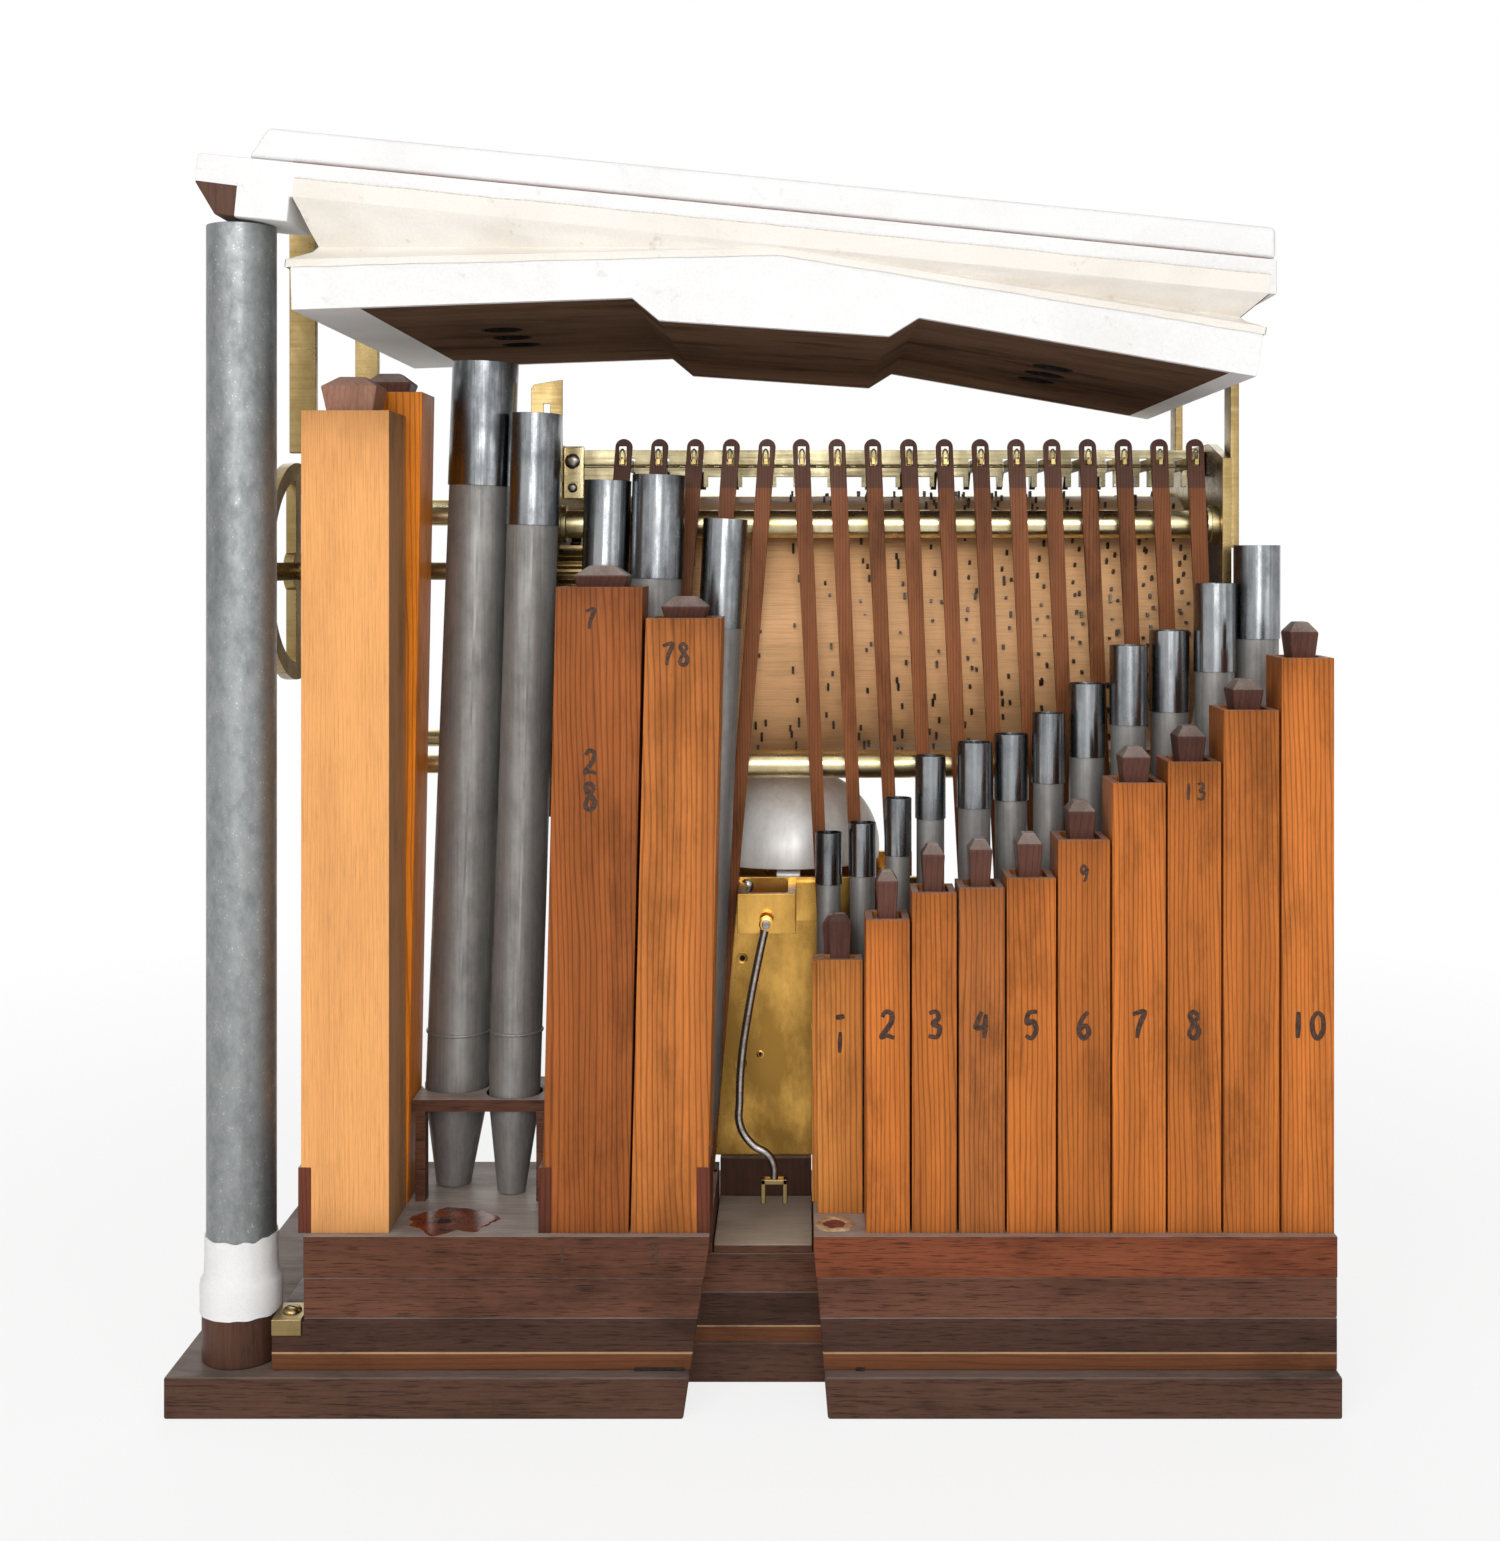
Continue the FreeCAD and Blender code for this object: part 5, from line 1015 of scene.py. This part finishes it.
mesh = bmesh.new()
count = 0
for key in range(KEYS):
    for track in range(TRACKS):
        x = KEY_X0 + key * KEY_PITCH - TRACK_PITCH * (track + 1) + TRACK_SHIFT
        for _ in range(FEWEST_NOTES + key * key // NOTE_GROWTH):
            count += 1
            turn = Matrix.Rotation(math.radians((count * GOLDEN_TURN) % 360.0), 4, "X")
            size = Vector((PIN_WIDE, PIN_LONG + PIN_LONGER * (count % 3), PIN_RISE))
            middle = Matrix.Translation(Vector((x, 0.0, BARREL_RADIUS + 0.5 * PIN_RISE)) * MM)
            place = Matrix.Translation(Vector((0.0, *BARREL_AXIS)) * MM) @ turn @ middle
            bmesh.ops.create_cube(mesh, size=1.0, matrix=place @ Matrix.Diagonal(size * MM).to_4x4())
piece("fine_pins", mesh, ["dark_steel"], "barrel")

# Lead pipes: a ring of solder above the rack and a seam up the front, on the two tall ones.
RING_RISE, RING_WIRE = (18.0, 20.0), 0.5
SEAM_TURN = math.radians(8.0)
SEAM_HALF, SEAM_PROUD, SEAM_END = 0.35, 0.12, 1.0
RACK_TOP_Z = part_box("pipe_rack")[1][2] / MM


def pipe_slice(bare, number, z):
    """The middle of a pipe at a height, and its radius, in mm."""
    cut(bare, *level(z), islands(bare)[number])
    points = [vert.co for face in islands(bare)[number] for vert in face.verts]
    low, high = box_of([point / MM for point in points if abs(point.z - z * MM) < WELD])
    return 0.5 * (low + high), 0.5 * (high.x - low.x)


def solder():
    """Rings and seams of the two tall lead pipes."""
    bare = welded("metal_pipes")
    slides = solids("tuning_slides")
    mesh = bmesh.new()
    out = Vector((math.sin(SEAM_TURN), -math.cos(SEAM_TURN), 0.0))
    side = Vector((-out.y, out.x, 0.0)) * SEAM_HALF
    for number, rise in enumerate(RING_RISE):
        centre, radius = pipe_slice(bare, number, RACK_TOP_Z + rise)
        wire = Vector(UPWARD) * RING_WIRE
        ring_of_wire(mesh, centre, lambda way: (way * radius, way * RING_WIRE, wire), 48)
        rings = []
        for z in (RACK_TOP_Z + SEAM_END, slides[number][0].z - SEAM_END):
            centre, radius = pipe_slice(bare, number, z)
            near, far = (centre + out * (radius + step * SEAM_PROUD) for step in (1.0, -2.0))
            rings.append([point * MM for point in (near - side, near + side, far + side, far - side)])
        skinned(mesh, rings)
    bare.free()
    turned_out(mesh)
    piece("pipe_solder", mesh, ["pipe_metal"], "movement")


solder()

# Clock: screws of the cock, pivots in the back plate with painted shade in their holes, and a dark rail on
# the shelf under that plate.
COCK_SCREWS = (((-4.0, -24.2, 147.5), 40.0), ((-9.2, -22.8, 140.5), 100.0), ((15.4, -22.8, 142.0), 15.0))
COCK_SCREW_RADIUS = 2.3
PIVOTS = ((-5.5, 123.0, 2.0), (-15.0, 107.0, 2.2), (-6.0, 87.5, 2.4), (0.5, 90.5, 1.3), (20.0, 100.0, 2.2),
          (30.0, 126.0, 1.8))
PIVOT_RIM = ((1.0, -0.1), (1.0, 0.25), (0.75, 0.3), (0.6, 0.05))
PIVOT_HOLE_SHADE = ((0.5, 0.0), (0.45, 0.4))
PLATE_BACK_Y = -23.0
RAIL, RAIL_ROUND = ((-12.9, -25.5, 43.3), (17.8, -20.3, 56.3)), 0.4

mesh = bmesh.new()
for place, slot_turn in COCK_SCREWS:
    screw(mesh, place, TO_FRONT, COCK_SCREW_RADIUS, slot_turn, 1)
for x, z, radius in PIVOTS:
    turn = facing((x, PLATE_BACK_Y, z), TO_FRONT)
    # A rim round each pivot, and a dark disc in it as painted shade in the hole.
    for profile, sides, index in ((PIVOT_RIM, 24, 0), (PIVOT_HOLE_SHADE, 16, 2)):
        lathed(mesh, [(wide * radius, height) for wide, height in profile], turn, sides, index)
piece("clock_fittings", mesh, ["clock_brass", "steel", "hole"], "movement")

mesh = bmesh.new()
block(mesh, *RAIL, RAIL_ROUND)
piece("clock_rail", mesh, ["dark_wood"], "movement")

# Ink: plain numerals on the pipes and the left toe board, as strokes in a box one wide and one high.
STROKES = {
    "-": [[(0.15, 0.5), (0.85, 0.55)]],
    "0": [[(0.5, 1.0), (0.1, 0.7), (0.15, 0.2), (0.5, 0.0), (0.9, 0.3), (0.85, 0.8), (0.45, 1.0)]],
    "1": [[(0.52, 1.0), (0.5, 0.5), (0.46, 0.0)]],
    "2": [[(0.05, 0.8), (0.35, 1.0), (0.8, 0.9), (0.7, 0.55), (0.0, 0.05), (0.4, 0.1), (1.0, 0.0)]],
    "3": [[(0.1, 0.95), (0.65, 1.0), (0.8, 0.75), (0.4, 0.55), (0.9, 0.4), (0.7, 0.05), (0.05, 0.08)]],
    "4": [[(0.5, 1.0), (0.05, 0.4), (0.95, 0.48)], [(0.8, 0.9), (0.68, 0.0)]],
    "5": [[(0.95, 1.0), (0.3, 0.95), (0.15, 0.58), (0.65, 0.62), (0.85, 0.3), (0.5, 0.0), (0.05, 0.1)]],
    "6": [[(0.8, 1.0), (0.3, 0.7), (0.1, 0.25), (0.45, 0.0), (0.85, 0.2), (0.6, 0.48), (0.15, 0.3)]],
    "7": [[(0.0, 0.9), (0.9, 1.0), (0.5, 0.45), (0.35, 0.0)]],
    "8": [[(0.8, 0.85), (0.4, 1.0), (0.15, 0.8), (0.8, 0.3), (0.5, 0.0), (0.1, 0.2), (0.8, 0.85)]],
    "9": [[(0.85, 0.75), (0.45, 1.0), (0.15, 0.75), (0.4, 0.5), (0.85, 0.8), (0.75, 0.35), (0.5, 0.0)]],
}
INK_WIDTH, INK_RISE, INK_ROOT, INK_SWELL = 1.7, 0.05, 0.15, 0.3
DIGIT_WIDE, DIGIT_STEP = 0.5, 0.75
LABEL_Z, LABEL_HIGH = 112.5, 8.0
ROW_START, ROW_LABELS = 6, ("2", "3", "4", "5", "6", "7", "8", "", "10")
# Each label: the pipe's number from left to right, the text, the height of its foot, and its size.
LABELS = [(ROW_START + i, text, LABEL_Z, LABEL_HIGH) for i, text in enumerate(ROW_LABELS)]
LABELS += [(10, "9", 160.0, 5.0), (12, "13", 185.0, 5.0), (5, "1", 103.5, 6.5), (5, "-", 110.5, 8.0)]
LABELS += [(2, "7", 237.0, 6.0), (2, "2", 193.0, 7.0), (2, "8", 182.0, 8.0), (3, "78", 226.0, 6.5)]
TOE_LABELS, TOE_LABEL_Z, TOE_LABEL_HIGH = ((-58.0, "1"), (-30.0, "2")), 45.5, 5.0
TOE_FRONT_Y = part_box("toe_boards")[0][1] / MM
TOE_TOP_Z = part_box("toe_boards")[1][2] / MM


def smooth(points, steps=6):
    """A smooth line through some points."""
    ends = [points[0], *points, points[-1]]
    line = []
    for corners in zip(ends, ends[1:], ends[2:], ends[3:]):
        for i in range(steps):
            t = i / steps
            weights = (-t + 2.0 * t**2 - t**3, 2.0 - 5.0 * t**2 + 3.0 * t**3,
                       t + 4.0 * t**2 - 3.0 * t**3, t**3 - t**2)
            line.append(sum((0.5 * w * Vector(c) for w, c in zip(weights, corners)), Vector((0.0, 0.0))))
    return line + [Vector(points[-1])]


def stroke(mesh, points, y, width, index=0):
    """A flat stroke through points (x, z) in mm, on a front face. It gets lower on its way."""
    line = smooth(points)
    rings = []
    for i, point in enumerate(line):
        ahead = line[min(i + 1, len(line) - 1)] - line[max(i - 1, 0)]
        half = 0.5 * width * (1.0 - INK_SWELL + INK_SWELL * math.sin(math.pi * i / (len(line) - 1)))
        rise = INK_RISE * (1.0 - 0.5 * i / len(line))
        side = Vector((-ahead.y, ahead.x)).normalized() * half
        corners = ((side, -rise), (side, INK_ROOT), (-side, INK_ROOT), (-side, -rise))
        rings.append([Vector((point.x + s.x, y + dy, point.y + s.y)) * MM for s, dy in corners])
    skinned(mesh, rings, index)


def written(mesh, text, x, y, z, high):
    """A number in ink, centred on x, with its foot at z."""
    left = x - 0.5 * (DIGIT_STEP * (len(text) - 1) + DIGIT_WIDE) * high
    for place, digit in enumerate(text):
        corner = left + place * DIGIT_STEP * high
        for points in STROKES[digit]:
            moved = [(corner + DIGIT_WIDE * high * px, z + high * pz) for px, pz in points]
            stroke(mesh, moved, y, INK_WIDTH * high / LABEL_HIGH)


mesh = bmesh.new()
pipes = solids("wood_pipes")
for number, text, z, size in LABELS:
    low, high = pipes[number]
    written(mesh, text, 0.5 * (low.x + high.x), low.y, z, size)
for x, text in TOE_LABELS:
    written(mesh, text, x, TOE_FRONT_Y, TOE_LABEL_Z, TOE_LABEL_HIGH)
turned_out(mesh)
piece("pipe_numerals", mesh, ["ink"], "movement")

# Toe boards: spilt varnish round a hole, with a dark plug as painted shade in the hole, and a ring of old
# glue.
SPILL, SPILL_SIZE, SPILL_RISE = (-93.5, -76.0), (15.5, 13.0), 0.25
SPILL_RINGS = ((1.0, -0.1), (0.985, 0.6 * SPILL_RISE), (0.93, SPILL_RISE))
SPILL_REACH, SPILL_WAVES, SPILL_SIDES = 0.86, ((0.3, 2.1), (0.08, 7.0)), 64
SPILL_HOLE, HOLE_SHADE_PROFILE = (-96.0, -77.5, TOE_TOP_Z), ((2.3, 0.0), (2.1, SPILL_RISE + 0.06))
GLUE, GLUE_RADIUS, GLUE_WIRE, GLUE_RISE = (24.8, -79.5, TOE_TOP_Z), 4.9, 1.4, 0.6
GLUE_MIDDLE = ((GLUE_RADIUS - 0.8, -0.1), (GLUE_RADIUS - 0.8, 0.12))
GLUE_WANDER, GLUE_SWELL = (0.7, 1.7), (0.35, 3.3)

mesh = bmesh.new()
rings = []
for spread, rise in SPILL_RINGS:
    rings.append([])
    for out in circle(SPILL_SIDES):
        reach = spread * (SPILL_REACH + sum(wide * noise.noise(out * scale) for wide, scale in SPILL_WAVES))
        x, y = (SPILL[k] + SPILL_SIZE[k] * out[k] * reach for k in (0, 1))
        rings[-1].append(Vector((x, y, TOE_TOP_Z + rise)) * MM)
skinned(mesh, rings)
# A dark plug in the hole, as painted shade.
lathed(mesh, HOLE_SHADE_PROFILE, facing(SPILL_HOLE, UPWARD), 24, 1)
piece("varnish_spill", mesh, ["varnish", "hole"], "movement")


def glue_shape(out):
    """An uneven ring, wider than it is high."""
    radius = GLUE_RADIUS + GLUE_WANDER[0] * noise.noise(out * GLUE_WANDER[1])
    wire = GLUE_WIRE * (1.0 + GLUE_SWELL[0] * noise.noise(out * GLUE_SWELL[1]))
    return out * radius, out * wire, Vector(UPWARD) * GLUE_RISE


mesh = bmesh.new()
ring_of_wire(mesh, Vector(GLUE), glue_shape, 48)
lathed(mesh, GLUE_MIDDLE, facing(GLUE, UPWARD), 32, 1)
turned_out(mesh)
piece("glue_ring", mesh, ["glue", "seam"], "movement")

# Chest and base: brass plate on the ledge, dark strips of painted shade under the floor board, nails and a
# chip.
LEDGE = ((-145.8, -90.0, 27.2), (-136.8, -77.5, 28.3))
LEDGE_FLANGE = ((-145.8, -90.9, 23.4), (-136.8, -90.0, 28.3))
LEDGE_ROUND, LEDGE_SCREW, LEDGE_SCREW_RADIUS = 0.25, (-141.3, -83.75, 28.3), 2.9
SHADE_STRIPS = (((-36.0, -90.5, 12.55), (-21.0, -88.0, 13.6)), ((31.0, -90.5, 12.55), (33.6, -88.0, 13.6)))
SHADE_STRIP_ROUND = 0.15
BASE_FRONT_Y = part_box("base_board")[0][1] / MM
# Each mark: its points, its width, and its look: 0 a dark dash of painted shade, 1 a nail, 2 a chip.
BASE_MARKS = (
    (((-64.6, 6.6), (-64.0, 4.0), (-65.0, 1.4)), 1.3, 1),
    (((77.4, 5.4), (78.6, 3.0), (78.2, 0.9)), 1.5, 1),
    (((39.6, 7.8), (41.4, 7.8)), 1.7, 0),
    (((-127.9, 4.8), (-127.0, 6.0), (-125.9, 6.6)), 1.6, 2),
)

mesh = bmesh.new()
block(mesh, *LEDGE, LEDGE_ROUND)
block(mesh, *LEDGE_FLANGE, LEDGE_ROUND)
screw(mesh, LEDGE_SCREW, UPWARD, LEDGE_SCREW_RADIUS, 65.0)
piece("ledge_plate", mesh, ["brass"], "movement")

mesh = bmesh.new()
# Dark strips under the floor board, as painted shade.
for shade_strip in SHADE_STRIPS:
    block(mesh, *shade_strip, SHADE_STRIP_ROUND)
for points, width, index in BASE_MARKS:
    stroke(mesh, points, BASE_FRONT_Y + INK_RISE, width, index)
turned_out(mesh)
piece("base_marks", mesh, ["hole", "dark_steel", "chip"], "movement")

# Key bar: a bracket with two screws at its left end, a stop at its right end, and collars on the front rods.
BAR_FRONT_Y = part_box("key_bar")[0][1] / MM
BRACKET_Y, STOP_Y, TOUCH_Y = (BAR_FRONT_Y - step for step in (2.4, 4.5, 0.02))
BRACKET, BRACKET_ROUND = ((-68.9, BRACKET_Y, 279.0), (-61.5, TOUCH_Y, 297.5)), 0.5
BRACKET_SCREW_X, BRACKET_SCREWS = -65.6, ((292.3, 2.7, 30.0), (283.0, 1.7, 120.0))
STOP, STOP_ROUND = ((150.2, STOP_Y, 287.2), (155.2, TOUCH_Y, 295.6)), 0.4
ROD_Y, ROD_ZS = -21.0, (270.0, 188.6)
ROD_COLLARS = ((-69.0, 1.0), (155.3, -1.0))
ROD_COLLAR = ((6.2, 0.0), (6.4, 0.3), (6.4, 2.4), (5.6, 3.1), (5.0, 3.3))

mesh = bmesh.new()
block(mesh, *BRACKET, BRACKET_ROUND)
for z, radius, slot_turn in BRACKET_SCREWS:
    screw(mesh, (BRACKET_SCREW_X, BRACKET_Y, z), TO_FRONT, radius, slot_turn, 1)
block(mesh, *STOP, STOP_ROUND, 2)
for x, way in ROD_COLLARS:
    for z in ROD_ZS:
        lathed(mesh, ROD_COLLAR, facing((x, ROD_Y, z), (way, 0.0, 0.0)), 36)
piece("bar_fittings", mesh, ["pale_brass", "steel", "dark_steel"], "movement")

# Stage: floor, light and camera.
FLOOR_HALF, FLOOR_FADE, FLOOR_WHITE = 4.0, (0.28, 0.70), 0.8
FLOOR_GREY, FLOOR_ROUGHNESS = (0.90, 0.90, 0.90, 1.0), 0.9
CAMERA_PLACE = (0.015, -0.655, 0.2595)
CAMERA_LENS = 43.6
CAMERA_SHIFT = (-0.0344, -0.1398)
WORLD_LIGHT = 0.34
LIT_POINT = (0.0, 0.0, 0.2)
LAMPS = (
    ("front_light", (0.05, -1.8, 0.60), 0.8, 11.3),
    ("key_light", (-0.9, -1.5, 0.95), 0.9, 9.0),
    ("fill_light", (1.3, -1.5, 0.55), 0.7, 2.6),
    ("top_light", (0.05, -1.1, 1.4), 2.0, 5.5),
    ("back_light", (0.0, 1.3, 1.3), 1.4, 7.0),
)


def seen_white(nodes):
    """One where the camera, a reflection or a clear surface looks, and nought for light on the object."""
    rays = nodes.node("ShaderNodeLightPath").outputs
    seen = nodes.math("MAXIMUM", rays["Is Camera Ray"], rays["Is Glossy Ray"])
    return nodes.math("MAXIMUM", seen, rays["Is Transmission Ray"])


def make_floor():
    """A pale floor that keeps the shadow near the object and turns white further out."""
    look = Look("pale_floor", specular=0.0)
    look.feed(look.shader, {"Base Color": FLOOR_GREY, "Roughness": FLOOR_ROUGHNESS})
    distance = look.node("ShaderNodeVectorMath", {0: look.object_place}, operation="LENGTH").outputs["Value"]
    fade = {"Value": distance, "From Min": FLOOR_FADE[0], "From Max": FLOOR_FADE[1], "To Min": FLOOR_WHITE}
    far = look.node("ShaderNodeMapRange", fade).outputs[0]
    share = look.math("MULTIPLY", far, seen_white(look))
    white = look.node("ShaderNodeEmission")
    joined = look.node("ShaderNodeMixShader", {0: share, 1: look.shader.outputs[0], 2: white.outputs[0]})
    look.feed(look.tree.nodes["Material Output"], {0: joined.outputs[0]})
    mesh = bmesh.new()
    bmesh.ops.create_grid(mesh, x_segments=1, y_segments=1, size=FLOOR_HALF)
    data = bpy.data.meshes.new("floor")
    mesh.to_mesh(data)
    mesh.free()
    data.materials.append(look.material)
    floor = in_scene("floor", data)


def make_world():
    """A white background, and a plain level of light from all round."""
    world = bpy.data.worlds.new("studio")
    bpy.context.scene.world = world
    sky = Nodes(world)
    strength = sky.node("ShaderNodeMapRange", {"Value": seen_white(sky), "To Min": WORLD_LIGHT}).outputs[0]
    sky.feed(sky.tree.nodes["Background"], {"Color": (1.0, 1.0, 1.0, 1.0), "Strength": strength})


def make_lamp(name, place, size, power):
    """A square soft box that looks at the object."""
    lamp = bpy.data.lights.new(name, "AREA")
    lamp.size = size
    lamp.energy = power
    made = in_scene(name, lamp)
    made.location = place
    made.rotation_euler = (Vector(LIT_POINT) - Vector(place)).to_track_quat("-Z", "Y").to_euler()


def make_camera():
    """The photograph's own view: level, a little right of the middle, near the height of the barrel."""
    lens = bpy.data.cameras.new("camera")
    lens.lens = CAMERA_LENS
    lens.shift_x, lens.shift_y = CAMERA_SHIFT
    made = in_scene("camera", lens)
    made.location = CAMERA_PLACE
    made.rotation_euler = (math.pi / 2.0, 0.0, 0.0)
    bpy.context.scene.camera = made


make_floor()
make_world()
for lamp in LAMPS:
    make_lamp(*lamp)
make_camera()
bpy.context.scene.view_settings.view_transform = "Standard"
